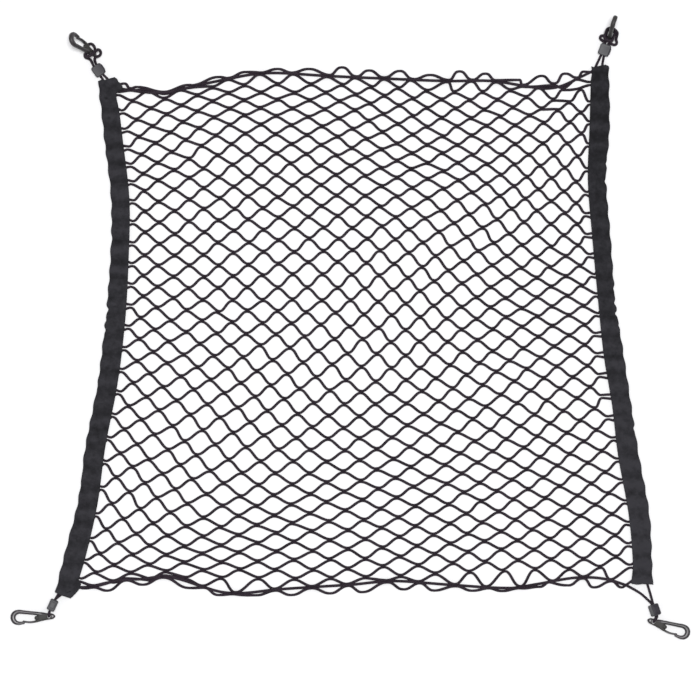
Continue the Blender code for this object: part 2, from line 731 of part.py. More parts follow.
def main():
    clear_scene()
    cord_black = finish("elastic cord, black", (0.012, 0.011, 0.014), 0.62)
    cloth_black = finish("sleeve cloth, black", (0.016, 0.016, 0.019), 0.85)
    hook_black = finish("hook plastic, black", (0.020, 0.019, 0.021), 0.38)
    lock_grey = finish("lock plastic, grey", (0.095, 0.095, 0.105), 0.5)

    build_net(cord_black)
    build_sleeve("sleeve_left", LEFT_SLEEVE, LEFT_GATHERS, -1, cloth_black)
    build_sleeve("sleeve_right", RIGHT_SLEEVE, RIGHT_GATHERS, 1, cloth_black)
    build_cord("cord_top", top_cord_route(), cord_black)
    build_cord("cord_bottom", bottom_cord_route(), cord_black)
    for corner, place in LOCKS.items():
        build_lock(f"cord_lock_{corner}", place, lock_grey)
    for corner, place in HOOKS.items():
        build_hook(f"hook_{corner}", place, hook_black)
    for piece in bpy.data.objects:
        piece.location -= Vector(MIDDLE)


main()
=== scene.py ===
import math

import bpy
import numpy as np
from mathutils import Matrix, Vector


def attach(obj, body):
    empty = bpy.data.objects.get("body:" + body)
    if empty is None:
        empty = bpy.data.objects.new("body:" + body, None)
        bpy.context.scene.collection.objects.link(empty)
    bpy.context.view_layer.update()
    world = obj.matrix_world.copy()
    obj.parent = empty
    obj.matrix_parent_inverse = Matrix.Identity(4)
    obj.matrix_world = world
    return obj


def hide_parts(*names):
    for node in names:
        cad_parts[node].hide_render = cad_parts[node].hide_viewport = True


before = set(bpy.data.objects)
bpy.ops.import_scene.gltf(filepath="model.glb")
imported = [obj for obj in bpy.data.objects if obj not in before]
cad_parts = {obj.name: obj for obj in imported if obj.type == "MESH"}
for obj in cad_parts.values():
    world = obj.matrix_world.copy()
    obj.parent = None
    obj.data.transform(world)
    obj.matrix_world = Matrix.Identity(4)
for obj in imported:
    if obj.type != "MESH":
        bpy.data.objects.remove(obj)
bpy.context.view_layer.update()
rng = np.random.default_rng(41)
print("frame loaded,", len(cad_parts), "nodes")

# The tables of places below have their own origin. This middle of their outline, in metres, is taken off
# every point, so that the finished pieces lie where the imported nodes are.
layoutMiddle = np.array((0.00102, -0.00134, 0.0))

camera = {
    "middle": (-0.00042, -0.02686),  # what the lens is aimed at, on the floor
    "frameWidth": 0.84,
    "lens": 600.0,
    "sensor": 36.0,
    "clip": (0.1, 20),  # shares of its distance
}

studio = {
    "floorSize": 60.0,
    "floorDrop": 0.0001,
    "floorColour": (0.90, 0.90, 0.91),
    "worldColour": (1.0, 1.0, 1.0),
    "worldStrength": 0.29,
    "lamps": (
        # name, strength, soft angle, tilt from straight down, heading
        ("overheadLamp", 2.55, 14, 3, 150),
        ("sideLamp", 0.26, 60, 42, 120),
        ("lowLamp", 0.20, 60, 46, -70),
    ),
}


def makeCamera():
    lens = bpy.data.cameras.new("camera")
    lens.lens = camera["lens"]
    lens.sensor_width = camera["sensor"]
    distance = camera["frameWidth"] * camera["lens"] / camera["sensor"]
    lens.clip_start, lens.clip_end = (distance * share for share in camera["clip"])
    holder = bpy.data.objects.new("camera", lens)
    holder.location = (*camera["middle"], distance)
    bpy.context.scene.collection.objects.link(holder)
    bpy.context.scene.camera = holder


def makeStudio():
    scene = bpy.context.scene
    scene.view_settings.view_transform = "Standard"
    scene.view_settings.look = "None"
    world = bpy.data.worlds.new("studio")
    world.use_nodes = True
    sky = world.node_tree.nodes["Background"]
    sky.inputs["Color"].default_value = (*studio["worldColour"], 1)
    sky.inputs["Strength"].default_value = studio["worldStrength"]
    scene.world = world
    for name, strength, soft, tilt, heading in studio["lamps"]:
        lamp = bpy.data.lights.new(name, "SUN")
        lamp.energy = strength
        lamp.angle = math.radians(soft)
        holder = bpy.data.objects.new(name, lamp)
        holder.rotation_euler = (math.radians(tilt), 0, math.radians(heading))
        scene.collection.objects.link(holder)
    half = studio["floorSize"] / 2
    mesh = bpy.data.meshes.new("floor")
    corners = [(-half, -half, 0), (half, -half, 0), (half, half, 0), (-half, half, 0)]
    mesh.from_pydata(corners, [], [(0, 1, 2, 3)])
    paper = bpy.data.materials.new("studioPaper")
    paper.use_nodes = True
    shader = paper.node_tree.nodes["Principled BSDF"]
    shader.inputs["Base Color"].default_value = (*studio["floorColour"], 1)
    shader.inputs["Roughness"].default_value = 1.0
    shader.inputs["Specular IOR Level"].default_value = 0.0
    mesh.materials.append(paper)
    floor = bpy.data.objects.new("floor", mesh)
    floor.location.z = -studio["floorDrop"]
    scene.collection.objects.link(floor)


makeCamera()
makeStudio()
print("camera and studio ready")


# Helpers for the materials' nodes

def feed(material, value, socket):
    if isinstance(value, bpy.types.NodeSocket):
        material.node_tree.links.new(value, socket)
    else:
        socket.default_value = value


def addNode(material, kind, inputs=None, **settings):
    made = material.node_tree.nodes.new("ShaderNode" + kind)
    for name, value in settings.items():
        setattr(made, name, value)
    for socket, value in (inputs or {}).items():
        feed(material, value, made.inputs[socket])
    return made


def calc(material, operation, *values):
    made = addNode(material, "Math", dict(enumerate(values)), operation=operation)
    return made.outputs[0]


def startMaterial(name, look):
    material = bpy.data.materials.new(name)
    material.use_nodes = True
    shader = material.node_tree.nodes["Principled BSDF"]
    for socket, key in (
        ("Specular IOR Level", "specular"),
        ("Sheen Weight", "sheen"),
        ("Sheen Roughness", "sheenRoughness"),
    ):
        if key in look:
            shader.inputs[socket].default_value = look[key]
    if "sheenTint" in look:
        shader.inputs["Sheen Tint"].default_value = (*look["sheenTint"], 1)
    return material, shader


def noise(material, place, scale, detail, roughness=0.55):
    inputs = {"Vector": place, "Scale": scale, "Detail": detail, "Roughness": roughness}
    return addNode(material, "TexNoise", inputs).outputs["Fac"]


def ramp(material, factor, stops):
    made = addNode(material, "ValToRGB", {"Fac": factor})
    stops = list(stops)
    while len(made.color_ramp.elements) < len(stops):
        made.color_ramp.elements.new(0.5)
    for element, (at, colour) in zip(made.color_ramp.elements, stops):
        element.position = at
        element.color = (*colour, 1)
    return made.outputs["Color"]


def named(sockets, identifier):
    return next(socket for socket in sockets if socket.identifier == identifier)


def blendColours(material, factor, low, high):
    made = addNode(material, "Mix", data_type="RGBA")
    for identifier, value in (("Factor_Float", factor), ("A_Color", low), ("B_Color", high)):
        feed(material, value, named(made.inputs, identifier))
    return named(made.outputs, "Result_Color")


def spread(material, factor, low, high):
    made = addNode(material, "MapRange", {"Value": factor, "To Min": low, "To Max": high})
    return made.outputs["Result"]


def uvPlace(material):
    parts = addNode(material, "SeparateXYZ", {"Vector": addNode(material, "UVMap").outputs["UV"]}).outputs
    return parts["X"], parts["Y"]


def objectPlace(material):
    return addNode(material, "TexCoord").outputs["Object"]


def attribute(material, name):
    return addNode(material, "Attribute", attribute_name=name).outputs["Fac"]


def wave(material, run, length, slant=0.0):
    # a sine of one turn for each length
    return calc(material, "SINE", calc(material, "MULTIPLY_ADD", run, math.tau / length, slant))


def dress(material, shader, colour, roughness, normal):
    for socket, source in (("Base Color", colour), ("Roughness", roughness), ("Normal", normal)):
        feed(material, source, shader.inputs[socket])
    return material


def bump(material, height, distance, strength, before=None):
    inputs = {"Height": height, "Distance": distance, "Strength": strength}
    if before is not None:
        inputs["Normal"] = before
    return addNode(material, "Bump", inputs).outputs["Normal"]


cordLook = {
    "dark": (0.0096, 0.0066, 0.0100),
    "light": (0.0295, 0.0205, 0.0300),
    "shades": (0.30, 0.72),  # where the colour is darkest and lightest
    "specular": 0.16,
    "sheen": 0.02,
    "sheenRoughness": 0.4,
    "sheenTint": (0.75, 0.68, 0.90),
    "roughness": (0.52, 0.78),
    "yarnLength": 0.0034,  # along the cord for one turn of a yarn's pattern
    "yarnsRound": 3,
    "yarnDepth": 0.00022,
    "paintedYarnShade": 0.22,  # how much painted light a yarn's crown gets against the painted shade between yarns
    "fuzzDepth": 0.00005,
    "unevenScale": 45,
    "fuzzScale": 2600,
}


def makeCordMaterial(name, look):
    material, shader = startMaterial(name, look)
    along, around = uvPlace(material)
    yarns = []
    for turn in (1, -1):
        slant = calc(material, "MULTIPLY", around, turn * look["yarnsRound"] * math.tau)
        yarns.append(wave(material, along, look["yarnLength"], slant))
    braid = calc(material, "MAXIMUM", *yarns)
    place = objectPlace(material)
    uneven = noise(material, place, look["unevenScale"], 3)
    fuzz = noise(material, place, look["fuzzScale"], 2)
    # painted shade: the braid's crowns are painted lighter and its hollows darker
    shade = calc(material, "MULTIPLY_ADD", braid, look["paintedYarnShade"], uneven)
    colour = ramp(material, shade, zip(look["shades"], (look["dark"], look["light"])))
    soft = bump(material, fuzz, look["fuzzDepth"], 0.4)
    braided = bump(material, braid, look["yarnDepth"], 0.7, soft)
    return dress(material, shader, colour, spread(material, fuzz, *look["roughness"]), braided)


threadLook = {
    "dark": (0.0085, 0.0058, 0.0090),
    "light": (0.0250, 0.0175, 0.0260),
    "shades": (0.40, 0.90),
    "specular": 0.14,
    "roughness": (0.5, 0.8),
    "turnLength": 0.00055,
    "turnDepth": 0.00016,
    # painted shade: how much lighter each turn's crown is painted than the hollows between turns
    "turnPaintedShade": 0.3,
    "unevenScale": 160,
}


def makeThreadMaterial(name, look):
    material, shader = startMaterial(name, look)
    along, around = uvPlace(material)
    slant = calc(material, "MULTIPLY", around, math.tau)
    turns = calc(material, "ABSOLUTE", wave(material, along, look["turnLength"], slant))
    uneven = noise(material, objectPlace(material), look["unevenScale"], 3)
    # the turns are painted lighter on their crowns and darker between them: painted shade
    shade = calc(material, "MULTIPLY_ADD", turns, look["turnPaintedShade"], uneven)
    colour = ramp(material, shade, zip(look["shades"], (look["dark"], look["light"])))
    wound = bump(material, turns, look["turnDepth"], 0.8)
    return dress(material, shader, colour, spread(material, uneven, *look["roughness"]), wound)


clothLook = {
    "dark": (0.0100, 0.0098, 0.0115),
    "middle": (0.0190, 0.0187, 0.0220),
    "light": (0.0350, 0.0340, 0.0400),
    "shades": (0.37, 0.59, 0.87),
    "specular": 0.14,
    "sheen": 0.035,
    "sheenRoughness": 0.45,
    "sheenTint": (0.86, 0.84, 0.92),
    "roughness": (0.72, 0.95),
    "yarn": 0.00085,  # from one thread of the weave to the next
    "yarnDepth": 0.00012,
    # painted shade of the weave: lighter on the threads' crowns, darker between them
    "paintedYarnShade": 0.05,
    "paintedShadeAndToneShare": 0.24,  # how much the painted shade and tone change the cloth: painted light on gathers' ridges, painted shade in their hollows and at tacks, and the tone along the sleeve
    "rumpleDepth": 0.0009,
    "mottleScale": 130,
    "slubScale": 900,
}


def makeClothMaterial(name, look):
    material, shader = startMaterial(name, look)
    weave = calc(material, "MULTIPLY", *(wave(material, run, look["yarn"]) for run in uvPlace(material)))
    place = objectPlace(material)
    mottle = noise(material, place, look["mottleScale"], 6, 0.70)
    slub = noise(material, place, look["slubScale"], 3)
    # painted shade on the gathers and at the tacks, the tone along the sleeve, then the weave's painted shade
    shade = calc(material, "MULTIPLY_ADD", attribute(material, "paintedShadeAndTone"), look["paintedShadeAndToneShare"], mottle)
    shade = calc(material, "MULTIPLY_ADD", weave, look["paintedYarnShade"], shade)
    colour = ramp(material, shade, zip(look["shades"], (look["dark"], look["middle"], look["light"])))
    rumple = bump(material, mottle, look["rumpleDepth"], 0.35)
    woven = bump(material, weave, look["yarnDepth"], 0.6, rumple)
    nubbed = bump(material, slub, look["yarnDepth"], 0.35, woven)
    return dress(material, shader, colour, spread(material, slub, *look["roughness"]), nubbed)


plasticLook = {
    "hook": {
        "dark": (0.0130, 0.0115, 0.0155),
        "light": (0.0360, 0.0270, 0.0350),
        # the colour that edges which bulge turn to
        "bulgeTint": (0.100, 0.090, 0.105),
        # colour of the painted shade on the hook's body and knob, and over the whole of the upper hooks
        "side": (0.024, 0.0225, 0.0215),
        "specular": 0.55,
        "roughness": (0.26, 0.42),
        "matt": 0.34,  # how much rougher the dark parts are
        "grain": 0.00006,
    },
    "lock": {
        "dark": (0.050, 0.050, 0.055),
        "light": (0.098, 0.098, 0.106),
        "bulgeTint": (0.20, 0.20, 0.215),
        # colour of the darker side of a lock: the button's own darker plastic, with painted shade on that
        # face and over the whole of some locks
        "side": (0.024, 0.021, 0.029),
        "specular": 0.34,
        "roughness": (0.44, 0.62),
        "matt": 0.06,
        "grain": 0.00010,
    },
}


def makePlasticMaterial(name, look):
    material, shader = startMaterial(name, look)
    place = objectPlace(material)
    cloudy, grain = noise(material, place, 70, 4), noise(material, place, 3200, 2)
    bulgePatches = spread(material, noise(material, place, 420, 5, 0.7), 0.1, 1.3)
    bulgeShare = calc(material, "MULTIPLY", attribute(material, "bulgeTint"), bulgePatches)
    # the dark attribute is painted shade, on the locks together with the button's darker plastic
    dark = attribute(material, "dark")
    body = ramp(material, cloudy, ((0.32, look["dark"]), (0.70, look["light"])))
    body = blendColours(material, dark, body, (*look["side"], 1))
    colour = blendColours(material, bulgeShare, body, (*look["bulgeTint"], 1))
    rough = calc(material, "MULTIPLY_ADD", dark, look["matt"], spread(material, cloudy, *look["roughness"]))
    return dress(material, shader, colour, rough, bump(material, grain, look["grain"], 0.5))


elasticCord = makeCordMaterial("elasticCord", cordLook)
joinThread = makeThreadMaterial("joinThread", threadLook)
sleeveCloth = makeClothMaterial("sleeveCloth", clothLook)
hookPlastic = makePlasticMaterial("hookPlastic", plasticLook["hook"])
lockPlastic = makePlasticMaterial("lockPlastic", plasticLook["lock"])
print("materials ready")


# Helpers for shapes. Tables of places are in millimetres, and other lengths in metres unless a note says so.

millimetre = 0.001


def eased(stations, values, at):
    # a smooth curve through values at rising stations, straight on past its ends
    stations = np.asarray(stations, float)
    flat = np.ndim(values) == 1
    values = np.asarray(values, float).reshape(len(stations), -1)
    single = np.ndim(at) == 0
    at = np.atleast_1d(np.asarray(at, float))
    last = len(stations) - 1
    count = np.arange(last + 1)
    low, high = np.maximum(count - 1, 0), np.minimum(count + 1, last)
    slopes = (values[high] - values[low]) / (stations[high] - stations[low])[:, None]
    i = np.clip(np.searchsorted(stations, at, side="right") - 1, 0, last - 1)
    span = (stations[i + 1] - stations[i])[:, None]
    t = (at - stations[i])[:, None] / span
    rise, fall, lead = t * t * (3 - 2 * t), t * t * (t - 1), t * (1 - t) ** 2
    made = values[i] * (1 - rise) + values[i + 1] * rise
    made += span * (slopes[i] * lead + slopes[i + 1] * fall)
    for end, past in ((0, at < stations[0]), (-1, at > stations[-1])):
        made = np.where(past[:, None], values[end] + slopes[end] * (at - stations[end])[:, None], made)
    made = made[:, 0] if flat else made
    return made[0] if single else made


def inMetres(*rows):
    return np.array(rows) * millimetre


def readTable(table, at):
    # the columns of a table in millimetres, eased over its first column in metres
    rows = inMetres(*sorted(table))
    return eased(rows[:, 0], rows[:, 1:], at)


def bumpsAt(table, y):
    # a sum of soft bumps, each with its place, height and half length in millimetres
    return sum(depth * math.exp(-(((y - at) / half) ** 2)) for at, depth, half in inMetres(*table))


def smooth(share):
    share = np.clip(share, 0, 1)
    return share * share * (3 - 2 * share)


def newStore():
    return {"points": [], "faces": [], "uvs": [], "count": 0}


def addGrid(store, rings, lengths, around=None):
    # rings of points, closed round, each joined to the next and the two ends filled
    count, sides = rings.shape[:2]
    around = np.arange(sides + 1) / sides if around is None else around
    base = store["count"]
    k = np.arange(count - 1)[:, None] * sides
    s = np.arange(sides)[None, :]
    n = (s + 1) % sides
    quads = np.stack([k + s, k + n, k + sides + n, k + sides + s], axis=-1).reshape(-1, 4) + base
    here = np.repeat(lengths[:-1, None], sides, axis=1)
    there = np.repeat(lengths[1:, None], sides, axis=1)
    left = np.repeat(around[None, :-1], count - 1, axis=0)
    right = np.repeat(around[None, 1:], count - 1, axis=0)
    corners = [(here, left), (here, right), (there, right), (there, left)]
    uvs = np.stack([np.stack(pair, axis=-1) for pair in corners], axis=2).reshape(-1, 2)
    store["points"].append(rings.reshape(-1, 3))
    store["faces"] += quads.tolist()
    store["uvs"].append(uvs)
    store["count"] += count * sides
    for ring, at in ((range(sides)[::-1], 0), (range(sides), count - 1)):
        store["faces"].append([base + at * sides + k for k in ring])
        store["uvs"].append(np.full((sides, 2), (lengths[at], 0.0)))


def writeShade(mesh, name, values):
    layer = mesh.attributes.new(name, "FLOAT", "POINT")
    layer.data.foreach_set("value", np.asarray(values, np.float32))


def makePiece(name, store, material, replaced, paintedShadesAndTones=None):
    points = np.concatenate(store["points"]) - layoutMiddle
    mesh = bpy.data.meshes.new(name)
    mesh.from_pydata(points.tolist(), [], store["faces"])
    layer = mesh.uv_layers.new(name="UVMap")
    layer.data.foreach_set("uv", np.concatenate(store["uvs"]).ravel())
    # the sleeves' painted shade on gathers and tacks, with their tone along the sleeve
    if paintedShadesAndTones is not None:
        writeShade(mesh, "paintedShadeAndTone", paintedShadesAndTones)
    mesh.materials.append(material)
    mesh.shade_smooth()
    mesh.validate()
    return placePiece(name, mesh, replaced)


def placePiece(name, mesh, replaced):
    piece = bpy.data.objects.new(name, mesh)
    bpy.context.scene.collection.objects.link(piece)
    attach(piece, "root")
    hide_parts(*replaced)
    return piece


def lengthsOf(line):
    steps = np.linalg.norm(np.diff(line, axis=0), axis=1)
    return np.concatenate([[0.0], np.cumsum(steps)])


def unit(vectors):
    return vectors / np.linalg.norm(vectors, axis=-1, keepdims=True)


def circle(sides):
    turn = np.arange(sides) * math.tau / sides
    return np.cos(turn), np.sin(turn)


def addTube(store, line, across, wide, high, sides, start=0.0):
    # wide and high are the half width and half height of the section at each point of the line
    up = np.cross(unit(np.gradient(line, axis=0)), across)
    cosine, sine = circle(sides)
    rings = line[:, None, :] + across[:, None, :] * (wide[:, None] * cosine)[..., None]
    rings = rings + up[:, None, :] * (high[:, None] * sine)[..., None]
    addGrid(store, rings, lengthsOf(line) + start)


def levelAcross(line):
    # for a line that lies near flat
    return unit(np.cross((0.0, 0.0, 1.0), unit(np.gradient(line, axis=0))))


def carriedAcross(line):
    # for a line that turns any way: carried along it without twisting
    ahead = unit(np.gradient(line, axis=0))
    across = [unit(np.cross(ahead[0], (0.3, 0.2, 1.0)))]
    for heading in ahead[1:]:
        across.append(unit(across[-1] - heading * np.dot(across[-1], heading)))
    return np.array(across)


# The sleeves' edges and the net's layout, which the net and the sleeves share

sleeveEdges = {
    # y, inner x, outer x
    "left": (
        (296, -276.6, -301), (289, -278.5, -300.8), (277, -279.6, -300),
        (258, -276.2, -297.6), (224, -272, -294), (152, -264, -286),
        (80, -265, -287), (8, -269, -293), (-67, -278, -302),
        (-145, -293, -317), (-211, -302, -326), (-262, -313, -339),
        (-317, -328, -353),
    ),
    "right": (
        (312, 290, 311), (239, 288, 312), (177, 286, 308), (110, 291, 313),
        (34, 298, 319), (-34, 305, 329), (-94, 315, 338), (-153, 322, 347),
        (-226, 335, 360), (-285, 340, 363), (-309, 338, 364),
    ),
}

net = {
    "columns": (-15, 17),  # half meshes, from sleeve to sleeve
    "rows": (-22, 28),
    "strandHalfWidth": 0.00168,
    "strandHalfHeight": 0.00115,
    "joinHalfWidth": 0.00150,
    "joinOffset": 0.00132,
    "edgeOffset": 0.0019,
    "barHalf": 0.0009,  # half of a join's straight stretch
    "handle": 0.285,  # how stiffly a strand leaves a join, as a share of the way to the next
    "arcHandle": 0.38,
    "handleWobble": 0.08,
    "freeRise": 4.2,  # how fast a strand comes to its full width between two joins
    "endFree": 0.6,
    "crimp": 1.2,  # a strand's length over the width of the net
    "steps": 9,
    "sides": 10,
    "sleeveReach": 0.0065,
    "sleeveEntry": (0.0006, 0.7),  # a strand's first point in the sleeve, and its share of the bend there
    "cordLift": 0.0002,  # between a join and the edge cord under it
    "sleeveLift": 0.0016,
    "sleeveBend": (0.0006, 0.0024),  # how far the upper strand rises and the lower one falls as they go in
    "endMargin": 0.004,  # strands keep this far inside the sleeves' ends
    "wobble": 0.00055,
    "tiltShare": 0.72,
    "tiltWobble": 5.0,
}
placeStations = (-15, -8, 0, 8, 17)
placeRows = (
    # measured in the photo: row, left y, then x and y at three columns, right y
    (-21, 288, -146, 297, 7, 300, 139, 290, 302),
    (-15, 225, -144, 242, 4, 238, 146, 229, 230),
    (-9, 162, -140, 168, 1, 169, 147, 161, 148),
    (-3, 88, -139, 88, 3, 91, 137, 79, 74),
    (3, 12, -141, 5, 0, 0, 135, -4, 2),
    (9, -66, -150, -80, -6, -93, 144, -86, -73),
    (15, -149, -166, -171, -7, -174, 154, -163, -148),
    (21, -240, -176, -251, -3, -244, 160, -234, -223),
    (27, -312, -174, -311, -1, -313, 165, -305, -300),
)
tiltRows = (
    # measured in the photo: row, then the joins' tilt in degrees at the same five columns, right end up
    (-19, 9, 2, -10, -7, 2), (-9, -7, 0, -6, -11, -13), (0, -8, -4, -3, -6, -8),
    (9, -20, -12, -4, 5, 4), (18, -18, -8, 0, 4, 3), (26, -10, -5, 2, 5, -1),
)

# Where the meshes are drawn out of their even places.
pulls = (
    # column, row, reach in columns and in rows, then mm to the right and up
    (13, -15.5, 4, 4, 6.5, 2.0), (4, -14, 3, 3, -1.8, -3.6), (5, -5, 4, 4, 0.8, 4.2),
    (12, -5, 4, 4.5, -0.6, -5.2), (12.5, 7, 4, 4, -1.5, 3.6), (4, 7, 4, 4, 0.0, -2.2),
    (16, 10, 3, 5, -3.0, 1.0), (-12, 23.5, 3, 3, -4.5, -4.5), (-12, -12, 3.5, 3, 3.0, -1.4),
    (-5, 5, 3, 3, 0.0, 2.5), (-5, 16, 3, 3, -1.6, -2.2), (4, 17, 3, 2.5, 0.6, 1.6),
    (-13, -4, 3.5, 4, 0.6, -2.0), (-13, 17.5, 3, 2.5, 0.0, 2.0), (-11, 19, 3, 2.5, -2.5, 0.0),
    (-2, -19, 4, 3, 3.0, 1.0), (7, -20, 3, 2.5, 2.8, 0.8), (14, -20, 3, 2, 2.5, 2.4),
    (1, -20, 2, 2, 0.0, -2.4), (-8, 19, 2.5, 2.5, 0.0, -1.9), (-5, 22, 2.5, 2, 1.9, 1.2),
    (13, 24, 4, 4, 0.0, -1.5), (-14, 25, 2, 3, -3.0, -4.0), (-14, -20, 2, 2.5, -1.8, 2.6),
    (15, -16, 3, 3, 2.2, 1.6), (16, -11, 2.5, 2.5, 0.0, -2.0), (-2, -5, 3, 3, 1.7, 0.0),
    (11.5, -2, 3, 2.5, 0.0, -1.8), (-11, 1, 3, 2.5, 0.0, -1.7), (14, -19, 0.8, 0.8, 0.4, -6.0),
    (16, -19, 0.8, 0.8, 0.4, 5.6), (15, -20, 0.8, 0.8, -3.4, -6.0), (14, -17, 0.8, 0.8, 1.4, 3.5),
    (13, -18, 0.8, 0.8, 0.0, -3.4), (15, -18, 0.8, 0.8, 2.2, 1.4),
)
# How far the last joins stand off the sleeves.
standOff = {
    # row, mm
    "left": (
        (-21, 0.0), (-17, 4.0), (-12, 5.0), (-7, 3.4), (-1, 4.0), (3, 4.8), (7, 1.2), (10, 3.4),
        (13, 1.8), (17, 2.4), (20, 0.6), (27, 0.3),
    ),
    "right": (
        (-21, 0.2), (-12, 0.6), (-9, 3.8), (-6, 7.0), (-3, 4.0), (1, 1.0), (4, 7.2), (7, 7.6),
        (10, 10.5), (12, 6.5), (15, 1.6), (18, 0.6), (21, 2.0), (24, 4.0), (27, 2.0),
    ),
}
# The free arcs outside the edge cord, and the joins on the cord after each of them.
topArcs = (
    # column, crest x, crest y, next join's x
    (-15, -270.6, 291.5, -262.2), (-13, -255, 287.4, -221.4), (-11, -193.2, 289.8, -186.6),
    (-9, -156.6, 299.4, -145.8), (-7, -124.2, 305.4, -107.4), (-5, -86.3, 309, -68.4),
    (-3, -48.6, 309, -25.8), (-1, -9, 310.9, 7.3), (1, 23.4, 307.2, 41.4),
    (3, 60.6, 306.6, 74.4), (5, 96.6, 301.8, 117.6), (7, 132.1, 306.1, 147),
    (9, 163.1, 303.4, 175.8), (11, 203.2, 295.9, 208.2), (13, 230.5, 300.7, 245.2),
    (15, 259, 303.4, 273), (17, 281.4, 305.8, 290),
)
bottomArcs = (
    (-15, -319, -314.2, -307), (-13, -291, -316.9, -266.4), (-11, -248.2, -309.8, -225),
    (-9, -191.4, -313.8, -175.8), (-7, -156.6, -322.2, -137.4), (-5, -112.2, -322.5, -89.4),
    (-3, -70.4, -322.2, -45), (-1, -23.4, -320.2, -2.4), (1, 15, -318.7, 45),
    (3, 65.4, -315.4, 83.4), (5, 101.4, -316.8, 126.6), (7, 147.8, -317, 165),
    (9, 183, -317.4, 204.6), (11, 227.8, -312.4, 241.8), (13, 262.2, -310.6, 280.2),
    (15, 293.4, -313, 313.8), (17, 327, -313, 336),
)

# Where the inner edge bulges towards the net: y, how far, half length
bunches = {
    "left": ((289.5, 7.2, 3.4), (-312, 4.6, 3.6)),
    "right": ((305, -1.2, 6),),
}

# Joins that stand off the edge cord, as column and row, then how far
offCord = {(14, -21): 4, (-14, -21): 1.2}


def sleeveEnds(side):
    return sleeveEdges[side][0][0] * millimetre, sleeveEdges[side][-1][0] * millimetre


def innerEdge(side, y):
    return readTable(sleeveEdges[side], y)[..., 0]


def netPlace(column, row):
    table = np.array(placeRows)
    leftY, x1, y1, x2, y2, x3, y3, rightY = eased(table[:, 0], table[:, 1:] * millimetre, row)
    xs = (innerEdge("left", leftY), x1, x2, x3, innerEdge("right", rightY))
    ys = (leftY, y1, y2, y3, rightY)
    x, y = eased(placeStations, xs, column), eased(placeStations, ys, column)
    for pullColumn, pullRow, across, down, right, up in pulls:
        share = math.exp(-(((column - pullColumn) / across) ** 2) - ((row - pullRow) / down) ** 2)
        x += share * right * millimetre
        y += share * up * millimetre
    return x, y


def netTilt(column, row):
    table = np.array(tiltRows)
    return eased(placeStations, eased(table[:, 0], table[:, 1:], row), column)


# Cords: the knots, bights and edges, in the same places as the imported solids

cords = {
    "radius": 0.0015,
    "edgeRadius": 0.0017,
    "knotRadius": 0.00172,
    "sides": 14,
    "step": 0.0011,
    "edgeStep": 0.004,  # between the points of the edge's run
    "boreRun": (-1.08, -0.7, 0.7, 1.08),  # shares of a lock's half length
    "boreSpread": 0.00185,
    "edgeLow": 0.0018,  # the edge cord's middle where it runs under the net's joins
    "edgeHigh": 0.0041,  # and where it runs over them
}
lockSize = {"width": 0.0134, "length": 0.0140, "thickness": 0.0096, "bevel": 0.0012}
lockPlaces = {
    # middle x, y, heading and roll in degrees
    "top_left": (-301.2, 307.4, 124.7, 0),
    "top_right": (306, 331.8, 70.2, 0),
    "bottom_left": (-356.2, -334.2, -115.0, 90),
    "bottom_right": (365.9, -340, -71.3, 70),
}
hookPlaces = {
    # eye x, y, z, heading, pitch and roll in degrees
    "top_left": (-308.4, 328.2, 7.2, 145.0, 45, 42),
    "top_right": (311.5, 346.5, 7.4, 77.0, 62, 84),
    "bottom_left": (-360.6, -347.8, 6, 181.7, -4.5, 180),
    "bottom_right": (364.7, -354.3, 6.6, -19.0, -5.2, 0),
}
# The upper knots, in millimetres: a loop in a level frame at the eye, then through the eye and round the
# hook's body in the hook's frame, then a second loop in the level frame.
knotHeadings = {"top_left": 145.0, "top_right": 70.0}
knots = {
    "top_left": (
        (
            (-6, 9.6, 4.6), (-2.8, 8, 4.2), (0.4, 8.4, 4), (3.4, 9.2, 4.2), (6, 7.6, 4.6),
            (6.4, 4.8, 4.8), (4.4, 3.4, 4.8),
        ),
        (
            (0, 0, -3), (0, 0, 0), (0.2, -0.3, 3), (1.3, -2.4, 4.9), (3.2, -6, 4.6),
            (5.4, -8.7, 2.6), (6.8, -8.9, -0.6), (6.8, -7.4, -3.6), (6.5, -3, -4.7), (6.6, 3, -4.7),
            (7, 6.9, -3.6), (7, 8.1, 0.2), (6.2, 6.6, 4), (4.6, 4, 6.1), (2.6, 1, 7.7),
            (0.4, -1.4, 8.1), (-1.5, -3.3, 7),
        ),
        (
            (-5.6, -7.6, 6.6), (-8.2, -5.8, 6.2), (-9, -2.9, 6.8), (-7.8, -0.2, 8.2), (-6.2, 2, 9.4),
            (-6.6, 4.6, 8.4), (-8.6, 6.6, 6.2),
        ),
    ),
    "top_right": (
        (
            (-7.3, 2.6, 4.5), (-6.3, 6, 4.5), (-4.4, 9.8, 4.8), (-1.4, 9.8, 5.6), (-0.2, 7.2, 6.4),
            (-0.2, 4.6, 7.1),
        ),
        (
            (0, 0, -2.4), (0, 0, 0), (0.1, 0.1, 2.6), (1.2, 2, 4.4), (2.4, 5.3, 4.2),
            (3.1, 7.1, 0), (3.7, 5.6, -4.2), (4.3, 0, -4.6), (4.8, -5.8, -4.4), (5.2, -7.6, 0),
            (5.6, -5.8, 4.4), (6, 0, 4.8), (6.6, 6.2, 4.7), (7.2, 8.1, 0), (7.8, 6.2, -4.9),
            (8, 0, -5.5), (8.3, -6.2, -4.9), (8.7, -8.6, 0), (8.8, -7.2, 4.7), (7, -5.6, 7.7),
            (3.8, -4.2, 8.1),
        ),
        (
            (0.6, -8.6, 7.2), (-2, -10.4, 5.8), (-4.4, -10.6, 5), (-6, -8.8, 4.7), (-6.3, -5.6, 4.7),
            (-7.3, -2.3, 4.7),
        ),
    ),
}
